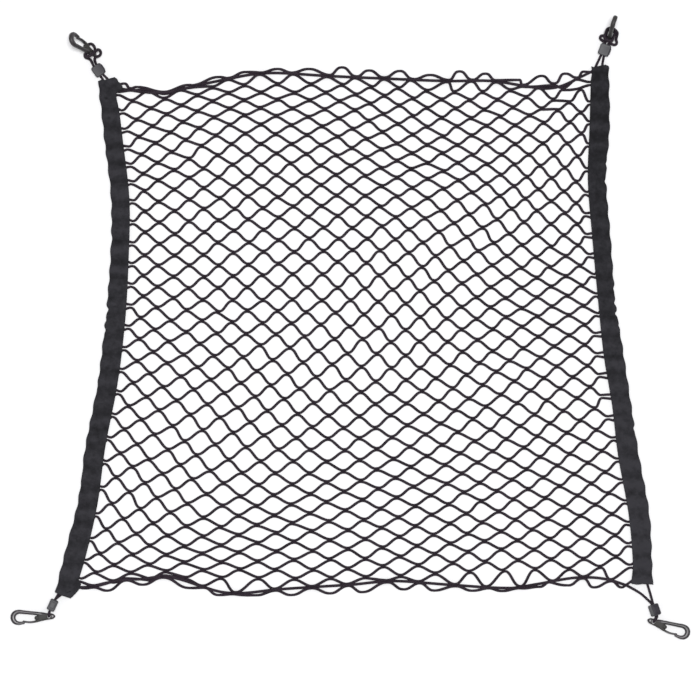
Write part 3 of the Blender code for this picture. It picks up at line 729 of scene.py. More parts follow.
bottomLeftBight = (
    (-359.8, -341.7, 9.1), (-360.3, -344.1, 10.7), (-360.6, -347.2, 9.7),
    (-360.6, -347.8, 6), (-360.6, -347.2, 2.6), (-360.3, -344.7, 1.7),
    (-360, -342.6, 2.8), (-359.7, -341.3, 4.5),
)
bottomRightBight = (
    (367.9, -348.4, 4.7), (367.4, -349.5, 2.5), (366.3, -351.5, 1.7),
    (365.1, -353.7, 2.5), (364.7, -354.3, 6.6), (365, -353.9, 9.6),
    (366.4, -351.7, 10.8), (368.8, -348.5, 9.6),
)
# The cord along the net's top and bottom edges, from the left sleeve to the right one.
topEdge = (
    (-264, 283.6), (-247.8, 281.4), (-223.8, 280.2), (-205.8, 283.2), (-185.4, 288.6),
    (-145.8, 297), (-117, 302.4), (-87, 304.2), (-25.8, 300.6), (40.2, 297.6),
    (117, 294.6), (171, 294.6), (210, 288.6), (233.4, 285.6), (250.2, 287.4),
    (264.6, 292.8), (276, 299.2),
)
bottomEdge = (
    (-323.6, -313), (-315, -312.6), (-301, -310.8), (-275.4, -304.2), (-250.2, -303),
    (-223.8, -300), (-204.6, -303), (-178.2, -311.4), (-153, -318.6), (-127.8, -319.8),
    (-88.2, -315.6), (-43.8, -312.6), (1.8, -309.7), (53.4, -305.4), (118.2, -309.7),
    (192.6, -313.8), (221.4, -309.7), (267, -301.8), (293.4, -301.3), (312.6, -304.2),
    (334.2, -311.2),
)


def hookFrame(corner):
    place, (heading, pitch, roll) = inMetres(*hookPlaces[corner][:3]), hookPlaces[corner][3:]
    turn = Matrix.Rotation(math.radians(heading), 4, "Z")
    turn = turn @ Matrix.Rotation(math.radians(-pitch), 4, "Y")
    return Matrix.Translation(place) @ turn @ Matrix.Rotation(math.radians(roll), 4, "X")


def levelFrame(corner):
    x, y = inMetres(*hookPlaces[corner][:2])
    return Matrix.Translation((x, y, 0)) @ Matrix.Rotation(math.radians(knotHeadings[corner]), 4, "Z")


def lockFrame(corner):
    (x, y), (heading, roll) = inMetres(*lockPlaces[corner][:2]), lockPlaces[corner][2:]
    tall, flat = abs(math.sin(math.radians(roll))), abs(math.cos(math.radians(roll)))
    halfWidth, halfThickness, bevel = lockSize["width"] / 2, lockSize["thickness"] / 2, lockSize["bevel"]
    height = max(
        tall * halfWidth + flat * (halfThickness - bevel),
        tall * (halfWidth - bevel) + flat * halfThickness,
    )
    turn = Matrix.Rotation(math.radians(heading), 4, "Z") @ Matrix.Rotation(math.radians(roll), 4, "X")
    return Matrix.Translation((x, y, height)) @ turn


def placed(matrix, points):
    return [tuple(matrix @ Vector(point)) for point in points]


def throughLock(corner, side, towardsHook):
    half = lockSize["length"] / 2
    run = [(end * half, side * cords["boreSpread"], 0) for end in cords["boreRun"]]
    run = placed(lockFrame(corner), run)
    return run if towardsHook else run[::-1]


def edgeHeight(arcs, x):
    # the cord weaves over one join and under the next
    column = np.interp(x / millimetre, [arc[3] for arc in arcs], [arc[0] + 1 for arc in arcs])
    low, high = cords["edgeLow"], cords["edgeHigh"]
    return (low + high) / 2 + (high - low) / 2 * math.cos(math.pi * column / 2)


def edgeRun(edge, arcs):
    fine = np.arange(edge[0][0] * millimetre, edge[-1][0] * millimetre, cords["edgeStep"])
    return [(x, y, edgeHeight(arcs, x)) for x, y in zip(fine, readTable(edge, fine)[:, 0])]


def knotRun(corner):
    firstLoop, turn, secondLoop = (inMetres(*run) for run in knots[corner])
    level = levelFrame(corner)
    return [*placed(level, firstLoop), *placed(hookFrame(corner), turn), *placed(level, secondLoop)]


def topRoute():
    plain, knot, edge = cords["radius"], cords["knotRadius"], cords["edgeRadius"]
    return routeOf(
        (inMetres((-292, 280, 2.9), (-293, 287, 2.9), (-295.5, 295.2, 3.7)), plain),
        (throughLock("top_left", 1, True), plain),
        (knotRun("top_left"), knot),
        (throughLock("top_left", -1, False), plain),
        (inMetres((-289.3, 296, 3.9), (-285, 290, 3), (-278, 286.4, 3)), plain),
        (edgeRun(topEdge, topArcs), edge),
        (inMetres((288, 304.6, 3.2), (293.6, 308.6, 3), (296.4, 314, 3.8)), plain),
        (throughLock("top_right", 1, True), plain),
        (knotRun("top_right"), knot),
        (throughLock("top_right", -1, False), plain),
        (inMetres((303.4, 314, 3.7), (303, 306, 2.9), (302.4, 296, 2.9)), plain),
    )


def bottomRoute():
    plain, edge = cords["radius"], cords["edgeRadius"]
    return routeOf(
        (inMetres((-336.2, -295, 2.9), (-342, -308, 2.9), (-347, -317.2, 3.1)), plain),
        (throughLock("bottom_left", -1, True), plain),
        (inMetres(*bottomLeftBight[::-1]), plain),
        (throughLock("bottom_left", 1, False), plain),
        (inMetres((-345, -320.8, 5.6), (-340.8, -316, 3), (-334, -313.6, 2.9)), plain),
        (edgeRun(bottomEdge, bottomArcs), edge),
        (inMetres((348.6, -319.8, 4.6), (357, -327, 5.8)), plain),
        (throughLock("bottom_right", -1, True), plain),
        (inMetres(*bottomRightBight), plain),
        (throughLock("bottom_right", 1, False), plain),
        (inMetres((361, -321, 6.4), (357.5, -309, 3.2), (355.5, -296, 2.9)), plain),
    )


def routeOf(*runs):
    # each run is its points and its cord's radius
    points = [point for run, _ in runs for point in run]
    radii = [radius for run, radius in runs for _ in run]
    return np.array(points), np.array(radii)


def makeCord(name, route, replaced):
    points, radii = route
    along = lengthsOf(points)
    fine = np.arange(0, along[-1], cords["step"])
    line = eased(along, points, fine)
    store = newStore()
    radii = eased(along, radii, fine)
    addTube(store, line, carriedAcross(line), radii, radii, cords["sides"])
    print(name, "is", round(float(along[-1]), 3), "m long")
    makePiece(name, store, elasticCord, replaced)


makeCord("edge_cord_top", topRoute(), ["cord_top"])
makeCord("edge_cord_bottom", bottomRoute(), ["cord_bottom"])
print("cords made")


# The net

def makeNodes():
    # x, y, z, tilt and half spread of each join, keyed by column and row
    first, last = net["columns"]
    top, bottom = net["rows"]
    edges = ((top, top + 1, topArcs), (bottom, bottom - 1, bottomArcs))
    crests = {row: {column: (x, y) for column, x, y, _ in arcs} for row, _, arcs in edges}
    onCord = {row: {column + 1: x for column, _, _, x in arcs} for _, row, arcs in edges}
    spots = {}
    for row in range(top, bottom + 1):
        for column in range(first, last + 1):
            if (column + row) % 2 == 0:
                continue
            x, y = netPlace(column, row)
            tilt = netTilt(column, row) * net["tiltShare"] + rng.normal(0, net["tiltWobble"])
            shift = rng.normal(0, net["wobble"], 2)
            lift, offset = 0.0, net["joinOffset"]
            if row in crests:
                x, y = inMetres(*crests[row][column])
                offset, tilt = 0.0, 0.0
            elif row in onCord and column in onCord[row]:
                edge = topEdge if row == top + 1 else bottomEdge
                x = onCord[row][column] * millimetre
                y = readTable(edge, x)[0] + offCord.get((column, row), 0) * millimetre
                if column % 4:
                    lift = 2 * cords["edgeRadius"] + net["cordLift"]
            elif column in (first, last):
                side = "left" if column == first else "right"
                rows = np.array(standOff[side])
                away = eased(rows[:, 0], rows[:, 1], row) * millimetre
                x = innerEdge(side, y) + (away if column == first else -away)
                offset = net["edgeOffset"]
            else:
                x, y = x + shift[0], y + shift[1]
            spots[column, row] = (x, y, net["strandHalfHeight"] + lift, math.radians(tilt), offset)
    return spots


def strandPoint(nodes, column, row):
    # where strand number row passes a column: under a join there, or over the next one down
    under = (column + row) % 2
    x, y, z, tilt, offset = nodes[column, row if under else row + 1]
    side = -1 if under else 1
    along = np.array((math.cos(tilt), math.sin(tilt), 0))
    normal = np.array((-math.sin(tilt), math.cos(tilt), 0))
    return np.array((x, y, z)) + side * offset * normal, along


def sleeveEnd(middle, side, upper):
    # from its last join the strand bends up or down as it goes into the sleeve, on to the lower cloth
    out = -1 if side == "left" else 1
    bend = rng.uniform(*net["sleeveBend"]) * (1 if upper else -1)
    high, low = sleeveEnds(side)
    ends = []
    for reach, share in (net["sleeveEntry"], (net["sleeveReach"], 1.0)):
        y = min(max(middle[1] + bend * share, low + net["endMargin"]), high - net["endMargin"])
        ends.append(np.array((innerEdge(side, y) + out * reach, y, middle[2] + net["sleeveLift"])))
    return ends


def strandLine(nodes, row):
    # the strand's middle line, and how far each of its points is from a join (0 at one, 1 between two)
    first, last = net["columns"]
    spots = [strandPoint(nodes, column, row) for column in range(first, last + 1)]
    ends = {}
    for side, column, (middle, _) in (("left", first, spots[0]), ("right", last, spots[-1])):
        ends[side] = sleeveEnd(middle, side, (column + row) % 2 == 0)
    arc = row in (net["rows"][0], net["rows"][1] - 1)
    line, free = ends["left"][::-1], [net["endFree"]] * 2
    for k, (middle, along) in enumerate(spots):
        half = net["barHalf"]
        line += [middle - along * half, middle + along * half]
        free += [0.0, 0.0]
        if k == len(spots) - 1:
            break
        onward, heading = spots[k + 1]
        start, end = middle + along * half, onward - heading * half
        hold = net["arcHandle"] if arc else net["handle"]
        pull = hold * np.linalg.norm(end - start) * (1 + rng.normal(0, net["handleWobble"]))
        a, b = start + along * pull, end - heading * pull
        for step in range(1, net["steps"]):
            t = step / net["steps"]
            u = 1 - t
            line.append(u ** 3 * start + 3 * u * u * t * a + 3 * u * t * t * b + t ** 3 * end)
            free.append(min(1.0, net["freeRise"] * t * u))
    return np.array(line + ends["right"]), np.array(free + [net["endFree"]] * 2)


def makeNet(name, rows, nodes):
    store = newStore()
    for row in rows:
        line, free = strandLine(nodes, row)
        wide = net["joinHalfWidth"] + (net["strandHalfWidth"] - net["joinHalfWidth"]) * free
        high = np.full(len(line), net["strandHalfHeight"])
        addTube(store, line, levelAcross(line), wide, high, net["sides"], float(rng.uniform(0, 0.01)))
    print(name, len(store["faces"]), "faces")
    return makePiece(name, store, elasticCord, ["net_panel"])


joins = {
    "halfLength": 0.0019,
    "halfWidth": 0.00270,
    "halfHeight": 0.00124,
    "lift": 0.0001,
    "sizeWobble": 0.05,
    "sides": 12,
    # share of the length, share of the full section
    "profile": ((-1.0, 0.62), (-0.94, 0.86), (-0.6, 1.0), (0.0, 0.97), (0.6, 1.0), (0.94, 0.86), (1.0, 0.62)),
}


def makeJoins(name, nodes):
    store = newStore()
    top, bottom = net["rows"]
    cosine, sine = circle(joins["sides"])
    for (column, row), (x, y, z, tilt, offset) in nodes.items():
        if row in (top, bottom) or column in net["columns"]:
            continue
        along = np.array((math.cos(tilt), math.sin(tilt), 0))
        across = np.array((-math.sin(tilt), math.cos(tilt), 0))
        size = 1 + rng.normal(0, joins["sizeWobble"])
        rings = []
        for share, scale in joins["profile"]:
            middle = np.array((x, y, z + joins["lift"])) + along * share * joins["halfLength"] * size
            wide = across * (joins["halfWidth"] * scale)
            high = np.array((0, 0, joins["halfHeight"] * scale))
            rings.append(middle + np.outer(cosine, wide) + np.outer(sine, high))
        lengths = np.array([share for share, _ in joins["profile"]]) * joins["halfLength"]
        addGrid(store, np.array(rings), lengths)
    print(name, len(store["faces"]), "faces")
    makePiece(name, store, joinThread, ["net_panel"])


nodes = makeNodes()
topRow, bottomRow = net["rows"]
splitRow = 3
upperNet = makeNet("net_upper", range(topRow, splitRow), nodes)
lowerNet = makeNet("net_lower", range(splitRow, bottomRow), nodes)
makeJoins("net_joins", nodes)
print("net made")


# The sleeves

sleeve = {
    "cloth": 0.0009,
    "lipHeight": 0.0048,
    "foldHeight": 0.0066,
    "endLift": 0.0014,
    "liftLength": 0.014,
    "liftFade": 0.030,
    "gathers": {"left": 27, "right": 26},
    "gatherSteps": 16,
    "gatherDepth": 0.0006,
    "gatherRise": 0.0009,
    "strengths": (0.35, 1.5),  # of the single gathers
    "wander": ((0.35, 7.3), (0.3, 2.9)),  # how far the gathers stray from an even pitch, and how often
    "profileSteps": 40,
    "upperFrom": 0.48,  # share of the profile where the upper side starts
    "crumples": ((0.00030, 2.0, 3.0), (0.00022, 3.3, -9.0)),  # height, waves to a gather and across it
    "puff": 0.0005,
    "endLength": 0.030,  # how far an uneven end reaches into the sleeve
    "fray": 0.00025,
    "frayLength": 0.003,
    "tackSize": (0.0022, 0.0015),
    "tackDepth": 0.0009,
    # how much painted shade darkens the cloth in a tack's dimple
    "tackPaintedShade": 1.6,
}
# The ends are cut unevenly: share of the width from the inner edge, then how far out
endCuts = {
    "left": {
        "top": ((0.0, -5.0), (0.07, 0.0), (0.20, 2.8), (0.45, 0.0), (0.88, -0.4), (1.0, -2.2)),
        "bottom": ((0.0, -2.5), (0.08, 3.5), (0.27, 8.8), (0.42, 7.4), (0.62, 6.0), (1.0, 1.6)),
    },
    "right": {
        "top": ((0.0, 0.0), (0.25, -1.2), (0.65, 1.6), (0.92, 1.0), (1.0, -2.4)),
        "bottom": ((0.0, -0.6), (0.30, 0.6), (0.60, -0.3), (1.0, 0.4)),
    },
}
# Thread tacks that hold the gathers, as x and y
sleeveTacks = {"left": ((-291.7, 273.5), (-287.9, 250.3), (-281.2, 23.8))}
# How light the cloth is along the sleeve, as y and shade
sleeveTones = {
    "left": ((-320, 0.10), (-100, 0.04), (100, 0.08), (300, 0.06)),
    "right": ((-310, 0.22), (-100, 0.12), (50, 0.0), (310, -0.10)),
}
# Places where the outer edge is drawn in, as y, depth and half length
sleeveNotches = {
    "left": (
        (20.5, 2.6, 3.4), (7, 1.4, 2.6), (-4, 1.6, 3),
        (107, 0.7, 5), (-70, 0.8, 4), (-180, 0.8, 5),
    ),
    "right": (
        (195, 1.6, 3), (173.5, 1.6, 3), (46, 1.4, 2.8),
        (28, 2.6, 3.4), (15.5, 2.2, 2.4), (1, 1.2, 2.6),
        (-122, 1.4, 2.8),
    ),
}


def sleeveSection(innerX, outerX, out, phase, lift, notch, steps):
    # the middle line of the folded cloth, from its lower edge round the fold to its lip
    width = abs(outerX - innerX) + sleeve["gatherDepth"] * math.cos(phase) - notch
    half = sleeve["cloth"] / 2
    rise = sleeve["gatherRise"] * math.cos(phase)
    top = sleeve["foldHeight"] + rise + 0.7 * lift - half
    lip = sleeve["lipHeight"] + lift - half
    profile = np.array((
        # share of the width, height
        (0.0, half),
        (0.45, half),
        (0.88, half),
        (0.975, 0.20 * top),
        (1.0 - half / width, 0.48 * top),
        (0.96, 0.82 * top),
        (0.82, 0.98 * top),
        (0.62, 0.97 * top - 0.2 * rise),
        (0.35, 0.5 * (top + lip) - 0.35 * rise),
        (0.12, lip + 0.0001),
        (0.0, lip),
    ))
    spacing = lengthsOf(profile * np.array((width, 1.0)))
    made = eased(spacing, profile, np.linspace(0, spacing[-1], steps))
    return np.stack([innerX + out * width * made[:, 0], made[:, 1]], axis=1), made[:, 0]


def sleeveSurface(side):
    out = -1 if side == "left" else 1
    high, low = sleeveEnds(side)
    gathers, steps = sleeve["gathers"][side], sleeve["profileSteps"]
    upper = np.arange(steps) > steps * sleeve["upperFrom"]
    strengths = rng.uniform(*sleeve["strengths"], gathers + 2)
    shares = np.linspace(0, 1, gathers * sleeve["gatherSteps"] + 1)
    sections, paintedShadesAndTones, ys = [], [], []
    for k, share in enumerate(shares):
        (size, waves), (otherSize, otherWaves) = sleeve["wander"]
        phase = math.tau * gathers * share + size * math.sin(waves * share * math.tau)
        phase += otherSize * math.sin(otherWaves * share * math.tau + out)
        strength = strengths[int(phase / math.tau + 0.5)]
        y = high + (low - high) * share
        fromEnd = min(high - y, y - low)
        held = (sleeve["liftFade"] - fromEnd) / (sleeve["liftFade"] - sleeve["liftLength"])
        lift = sleeve["endLift"] * min(max(held, 0.0), 1.0)
        innerX, outerX = readTable(sleeveEdges[side], y)
        innerX -= out * bumpsAt(bunches[side], y)
        notch = bumpsAt(sleeveNotches[side], y)
        points, across = sleeveSection(innerX, outerX, out, phase, lift, notch, steps)
        swell = strength * sleeve["puff"] * math.cos(phase) * np.sin(np.clip(across, 0, 1) * math.pi)
        for height, along, over in sleeve["crumples"]:
            swell += height * np.sin(phase * along + across * over)
        points[:, 1] += np.where(upper, swell * np.clip(across * 3, 0, 1), 0)
        frayed = np.sin(across * 41 + out) + np.sin(across * 67 + k)
        frayed *= sleeve["fray"] * max(1 - fromEnd / sleeve["frayLength"], 0)
        place = y + endShift(side, y, high, low, across) + frayed
        # painted shade: on the upper side a gather's ridge is painted lighter and its hollow darker
        paintedShadeAndTone = np.where(upper, 0.5 + 0.5 * math.cos(phase) * strength, 0.3)
        paintedShadeAndTone += np.interp(y / millimetre, *np.transpose(sleeveTones[side])) / clothLook["paintedShadeAndToneShare"]
        for tackX, tackY in inMetres(*sleeveTacks.get(side, ())):
            sizeX, sizeY = sleeve["tackSize"]
            near = ((points[:, 0] - tackX) / sizeX) ** 2 + ((place - tackY) / sizeY) ** 2
            hold = np.where(upper, np.exp(-near), 0)
            points[:, 1] -= sleeve["tackDepth"] * hold
            # painted shade in each tack's dimple
            paintedShadeAndTone -= sleeve["tackPaintedShade"] * hold
        sections.append(points)
        paintedShadesAndTones.append(paintedShadeAndTone)
        ys.append(place)
    return np.array(sections), np.array(paintedShadesAndTones), np.array(ys), out


def endShift(side, y, high, low, across):
    # how far along the sleeve its uneven ends move each point of a section
    shift = np.zeros(len(across))
    for end, sign, distance in (("top", 1, high - y), ("bottom", -1, y - low)):
        shares, amounts = np.transpose(endCuts[side][end])
        fade = smooth(1 - distance / sleeve["endLength"])
        shift += sign * eased(shares, amounts, across) * millimetre * fade
    return shift


def makeSleeve(side):
    sections, paintedShadesAndTones, ys, out = sleeveSurface(side)
    count, steps = sections.shape[:2]
    half = sleeve["cloth"] / 2
    ahead = unit(np.gradient(sections, axis=1))
    normal = np.stack([ahead[..., 1], -ahead[..., 0]], axis=2) * -out
    outer, inner = sections - normal * half, sections + normal * half
    loop = np.concatenate([outer, inner[:, ::-1]], axis=1)
    rings = np.stack([loop[..., 0], np.concatenate([ys, ys[:, ::-1]], axis=1), loop[..., 1]], axis=2)
    if out > 0:
        rings = rings[:, ::-1]
    rings[..., 2] = np.maximum(rings[..., 2], 0)
    store = newStore()
    girth = lengthsOf(rings[count // 2])
    girth = np.concatenate([girth, [girth[-1] + sleeve["cloth"]]])
    addGrid(store, rings, ys[0, 0] - ys[:, 0], girth)
    shade = np.concatenate([paintedShadesAndTones, paintedShadesAndTones[:, ::-1]], axis=1)
    if out > 0:
        shade = shade[:, ::-1]
    name = f"gathered_sleeve_{side}"
    piece = makePiece(name, store, sleeveCloth, [f"sleeve_{side}"], shade.ravel())
    print(name, len(store["faces"]), "faces")
    return piece


sleeves = {side: makeSleeve(side) for side in ("left", "right")}
print("sleeves made")


# The mouldings: hooks and locks

hook = {
    # all in millimetres, in the hook's frame: x from the eye towards the tip, y towards the back
    "bar": (
        # x, y, half width, half thickness
        (8.0, 2.6, 2.2, 1.8), (14.0, 3.9, 2.2, 1.95), (22.0, 4.9, 2.15, 1.95),
        (30.0, 5.9, 2.3, 2.0), (35.7, 6.6, 2.5, 2.05), (39.8, 5.6, 2.95, 2.1),
        (42.4, 3.1, 3.1, 2.15), (43.25, -0.25, 3.1, 2.15), (42.4, -3.6, 2.95, 2.15),
        (39.9, -6.1, 2.6, 2.1), (36.4, -7.1, 2.1, 2.0), (33.1, -7.0, 1.8, 1.9),
        (30.2, -6.9, 1.45, 1.7),
    ),
    "tongue": (
        (9.5, -3.4, 1.9, 1.6), (14.0, -5.0, 1.45, 1.6), (18.0, -5.9, 1.25, 1.55),
        (23.0, -6.3, 1.2, 1.5), (27.5, -5.8, 1.15, 1.5), (31.0, -4.9, 1.0, 1.45),
    ),
    "body": (
        (-7.0, 0.0, 1.3, 1.1), (-6.2, 0.0, 2.4, 1.6), (-4.2, 0.0, 3.3, 1.9), (-1.0, 0.0, 3.7, 2.05),
        (3.0, 0.0, 4.2, 2.15), (8.0, 0.1, 5.2, 2.2), (11.6, 0.2, 5.4, 2.2), (13.0, 0.3, 4.4, 1.8),
    ),
    "knob": (15.0, -1.4, 2.5, 2.1),  # x, y, radius, half thickness
    "eyeRadius": 2.3,
    "eyeDepth": 4.0,
    "raised": {"top": 0.6, "bottom": 0.3},  # how far the bars' middle stands above the body's
    # where the painted shade on the body and the knob starts and ends, how far back it reaches and how softly
    # it fades, in millimetres
    "paintedShadeFrom": -4.5,
    "paintedShadeTo": 19.0,
    "paintedShadeBack": 3.6,
    "paintedShadeFade": 2.0,
    # painted shade over the whole hook, strongest on the upper hooks
    "paintedShades": {"top_left": 0.45, "top_right": 0.8, "bottom_left": 0.0, "bottom_right": 0.1},
    "voxel": 0.34,
    "sides": 24,
    "barPower": 2.5,  # 2 gives an oval section, more a squarer one
    "tonguePower": 3.0,
    "bodyPower": 2.6,
}
bar = {"step": 0.0007, "endAngles": (30, 60, 80), "endShare": 0.8}
ball = {"sides": 18, "rings": 10, "reach": 86, "step": 0.001}


def addBar(store, table, sides, power, raised=0.0):
    # a bar from a table of x, y, half width and half thickness, made deeper on its upper side
    rows = np.array(table) * millimetre
    rows[:, 3] += abs(raised)
    line = np.stack([rows[:, 0], rows[:, 1], np.full(len(rows), raised)], axis=1)
    along = lengthsOf(line)
    fine = np.linspace(0, along[-1], int(along[-1] / bar["step"]))
    line = eased(along, line, fine)
    wide, high = eased(along, rows[:, 2], fine), eased(along, rows[:, 3], fine)
    ahead, across = unit(np.gradient(line, axis=0)), levelAcross(line)
    cosine, sine = (np.sign(part) * np.abs(part) ** (2 / power) for part in circle(sides))

    def ring(k, push=0.0, scale=1.0):
        middle = line[k] + ahead[k] * push
        flat, tall = np.outer(cosine, across[k] * wide[k]), np.outer(sine, (0, 0, high[k]))
        return middle + (flat + tall) * scale

    rings = [ring(k) for k in range(len(line))]
    # the ends are rounded off by a few shrinking rings
    for angle in np.radians(bar["endAngles"]):
        for end, direction in ((0, -1), (-1, 1)):
            push = math.sin(angle) * min(wide[end], high[end]) * bar["endShare"]
            made = ring(end, direction * push, math.cos(angle))
            rings = [made, *rings] if end == 0 else [*rings, made]
    addGrid(store, np.array(rings), np.arange(len(rings)) * bar["step"])


def addBall(store, middle, radii):
    cosine, sine = circle(ball["sides"])
    angles = np.radians(np.linspace(-ball["reach"], ball["reach"], ball["rings"] + 1))
    made = []
    for angle in angles:
        flat = np.full(ball["sides"], math.sin(angle))
        ring = np.stack([flat, cosine * math.cos(angle), sine * math.cos(angle)], axis=1)
        made.append(ring * radii + middle)
    addGrid(store, np.array(made), np.arange(len(made)) * ball["step"])


def plainObject(name, store):
    mesh = bpy.data.meshes.new(name)
    mesh.from_pydata(np.concatenate(store["points"]).tolist(), [], store["faces"])
    made = bpy.data.objects.new(name, mesh)
    bpy.context.scene.collection.objects.link(made)
    return made


moulding = {
    "smoothing": 0.5,
    "smoothTurns": 3,
    "sharpAngle": 38,
    "bulgeTintFrom": 0.10,  # how far an edge bulges before it turns lighter
    "bulgeTintGain": 5,
}


def readMesh(items, key, width, kind=float):
    values = np.zeros(len(items) * width, kind)
    items.foreach_get(key, values)
    return values.reshape(-1, width)


def skinOf(name, shells, cutters, voxel):
    # joins the shells into one skin, softens it and cuts the openings
    blank, cutter = plainObject(name + "Blank", shells), plainObject(name + "Cutter", cutters)
    skin = blank.modifiers.new("skin", "REMESH")
    skin.mode = "VOXEL"
    skin.voxel_size = voxel
    soften = blank.modifiers.new("soften", "SMOOTH")
    soften.factor = moulding["smoothing"]
    soften.iterations = moulding["smoothTurns"]
    cut = blank.modifiers.new("cut", "BOOLEAN")
    cut.operation = "DIFFERENCE"
    cut.solver = "EXACT"
    cut.object = cutter
    bpy.context.view_layer.update()
    mesh = bpy.data.meshes.new_from_object(blank.evaluated_get(bpy.context.evaluated_depsgraph_get()))
    mesh.name = name
    for leftover in (blank, cutter):
        bpy.data.objects.remove(leftover)
    return mesh


def bulgeTintOf(mesh, points):
    # an edge that bulges has neighbours below its own surface
    normals = readMesh(mesh.vertices, "normal", 3)
    edges = readMesh(mesh.edges, "vertices", 2, np.int32)
    bulgeTint, seen = np.zeros(len(points)), np.zeros(len(points))
    for a, b in ((0, 1), (1, 0)):
        away = points[edges[:, b]] - points[edges[:, a]]
        below = -(away * normals[edges[:, a]]).sum(1) / np.linalg.norm(away, axis=1)
        np.add.at(bulgeTint, edges[:, a], below)
        np.add.at(seen, edges[:, a], 1)
    return np.clip((bulgeTint / np.maximum(seen, 1) - moulding["bulgeTintFrom"]) * moulding["bulgeTintGain"], 0, 1)


def finishMoulding(name, shells, cutters, voxel, matrix, material, replaced, shade):
    mesh = skinOf(name, shells, cutters, voxel)
    mesh.materials.clear()
    mesh.materials.append(material)
    mesh.shade_smooth()
    mesh.set_sharp_from_angle(angle=math.radians(moulding["sharpAngle"]))
    points = readMesh(mesh.vertices, "co", 3)
    writeShade(mesh, "bulgeTint", bulgeTintOf(mesh, points))
    # the dark attribute: painted shade, and on the locks also the button's darker plastic
    writeShade(mesh, "dark", shade(points))
    mesh.transform(Matrix.Translation(-Vector(layoutMiddle)) @ matrix)
    print(name, len(mesh.polygons), "faces")
    placePiece(name, mesh, [replaced])


def rodStore(radius, half, axis, wide=0.0, sides=32):
    # a straight rod, or a slot when wide is set, for cutting
    cosine, sine = circle(sides)
    u, v = cosine * radius + np.sign(cosine) * wide, sine * radius
    rings = []
    for end in (-half, half):
        flat = np.full(sides, end)
        rings.append(np.stack([u, v, flat] if axis == "Z" else [flat, u, v], axis=1))
    store = newStore()
    addGrid(store, np.array(rings), np.array((0.0, 1.0)))
    return store


def hookPaintedShade(points):
    # painted shade: the body and the knob in the bow are painted darker, and made duller, than the bars and
    # the tail
    x, y = points[:, 0] / millimetre, points[:, 1] / millimetre
    start, end, fade = hook["paintedShadeFrom"], hook["paintedShadeTo"], hook["paintedShadeFade"]
    return smooth((x - start) / fade) * smooth((end - x) / fade) * smooth((hook["paintedShadeBack"] - y) / fade)


def makeHook(corner):
    matrix = hookFrame(corner)
    raised = math.copysign(hook["raised"][corner.split("_")[0]] * millimetre, matrix[2][2])
    shells = newStore()
    addBar(shells, hook["bar"], hook["sides"], hook["barPower"], raised)
    addBar(shells, hook["tongue"], hook["sides"], hook["tonguePower"], raised)
    addBar(shells, hook["body"], hook["sides"] + 8, hook["bodyPower"])
    x, y, radius, halfThickness = np.array(hook["knob"]) * millimetre
    addBall(shells, np.array((x, y, 0)), np.array((radius, radius, halfThickness)))
    eye = rodStore(hook["eyeRadius"] * millimetre, hook["eyeDepth"] * millimetre, "Z")
    finishMoulding(
        f"snap_hook_{corner}", shells, eye, hook["voxel"] * millimetre, matrix, hookPlastic,
        f"hook_{corner}", lambda points: np.maximum(hook["paintedShades"][corner], hookPaintedShade(points)),
    )


lock = {
    "corner": 0.0024,
    "voxel": 0.00032,
    "rim": 0.0017,
    "recess": 0.0005,
    "recessCorner": 0.0014,
    "boreRadius": 0.0022,
    "boreDepth": 0.012,
    "cornerSteps": 6,
    "shades": {
        # painted shade: how dark all over, then the shares of the half width between which it turns darker
        # still towards the button's side, partly the button's own darker plastic and partly painted shade
        "top_left": (0.42, 0.40, 0.60),
        "top_right": (0.05, 0.62, 0.85),
        "bottom_left": (0.10, 1.20, 1.40),
        "bottom_right": (0.05, 0.80, 0.95),
    },
}
button = {"halfLength": 0.0042, "halfThickness": 0.0030, "bevel": 0.0007, "proud": 0.0007}


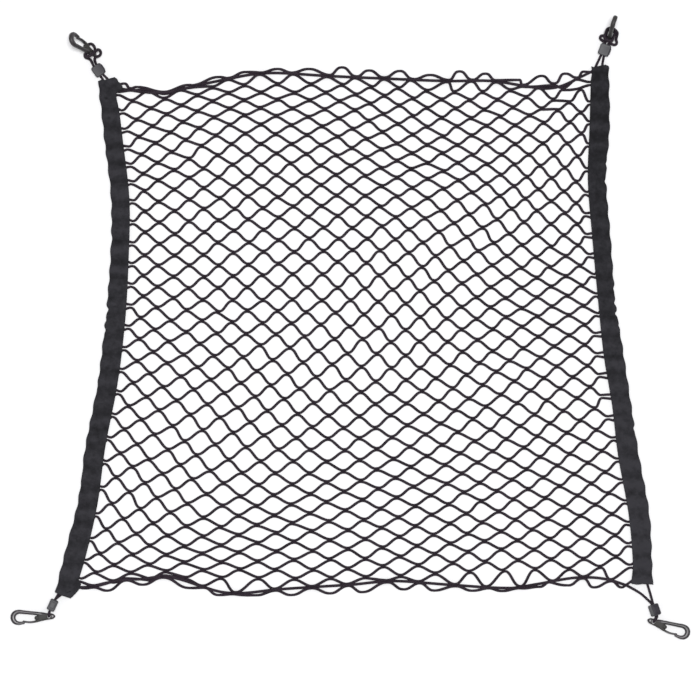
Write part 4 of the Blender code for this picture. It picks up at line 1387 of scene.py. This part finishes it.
def addSlab(store, halfLength, halfWidth, corner, levels, shift=0.0):
    # a slab with round corners: levels are pairs of height and inset, shift moves it sideways
    rings = []
    for z, inset in levels:
        ring = []
        for quarter, (signX, signY) in enumerate(((1, 1), (-1, 1), (-1, -1), (1, -1))):
            for step in range(lock["cornerSteps"] + 1):
                angle = math.radians(90 * (quarter + step / lock["cornerSteps"]))
                x = signX * (halfLength - corner) + (corner - inset) * math.cos(angle)
                y = signY * (halfWidth - corner) + (corner - inset) * math.sin(angle)
                ring.append((x, y + shift, z))
        rings.append(ring)
    addGrid(store, np.array(rings), np.arange(len(rings)) * millimetre)


def bevelled(half, *bevels):
    # levels from the underside up, from pairs of how far in height and how far in
    lower = [(down - half, inset) for down, inset in bevels]
    return lower + [(-z, inset) for z, inset in reversed(lower)]


def makeLock(corner):
    halfLength, halfWidth = lockSize["length"] / 2, lockSize["width"] / 2
    half, bevel, rim = lockSize["thickness"] / 2, lockSize["bevel"], lock["rim"]
    shells = newStore()
    levels = bevelled(half, (0.0, bevel), (0.3 * bevel, 0.35 * bevel), (bevel, 0.0))
    addSlab(shells, halfLength, halfWidth, lock["corner"], levels)
    # the push button stands a little out of one side
    soft = button["bevel"]
    levels = bevelled(button["halfThickness"], (0.0, soft), (soft, 0.0))
    addSlab(shells, button["halfLength"], halfWidth, 2 * soft, levels, button["proud"])
    cutters = rodStore(lock["boreRadius"], lock["boreDepth"], "X", cords["boreSpread"])
    for side in (-1, 1):
        levels = [(side * (half - lock["recess"]), 0.0), (side * (half + millimetre), 0.0)]
        addSlab(cutters, halfLength - rim, halfWidth - rim, lock["recessCorner"], levels[::side])
    turned = Matrix.Rotation(math.pi, 4, "X") if corner.startswith("top") else Matrix.Identity(4)
    # painted shade: the whole lock darker by its tone, and darker still towards the button's side, which is
    # partly the button's own darker plastic
    paintedShadeAllOver, start, end = lock["shades"][corner]
    finishMoulding(
        f"barrel_lock_{corner}", shells, cutters, lock["voxel"], lockFrame(corner) @ turned, lockPlastic,
        f"cord_lock_{corner}",
        lambda points: np.maximum(paintedShadeAllOver, smooth((points[:, 1] / halfWidth - start) / (end - start))),
    )


for corner in hookPlaces:
    makeHook(corner)
for corner in lockPlaces:
    makeLock(corner)
print("hooks and locks made")
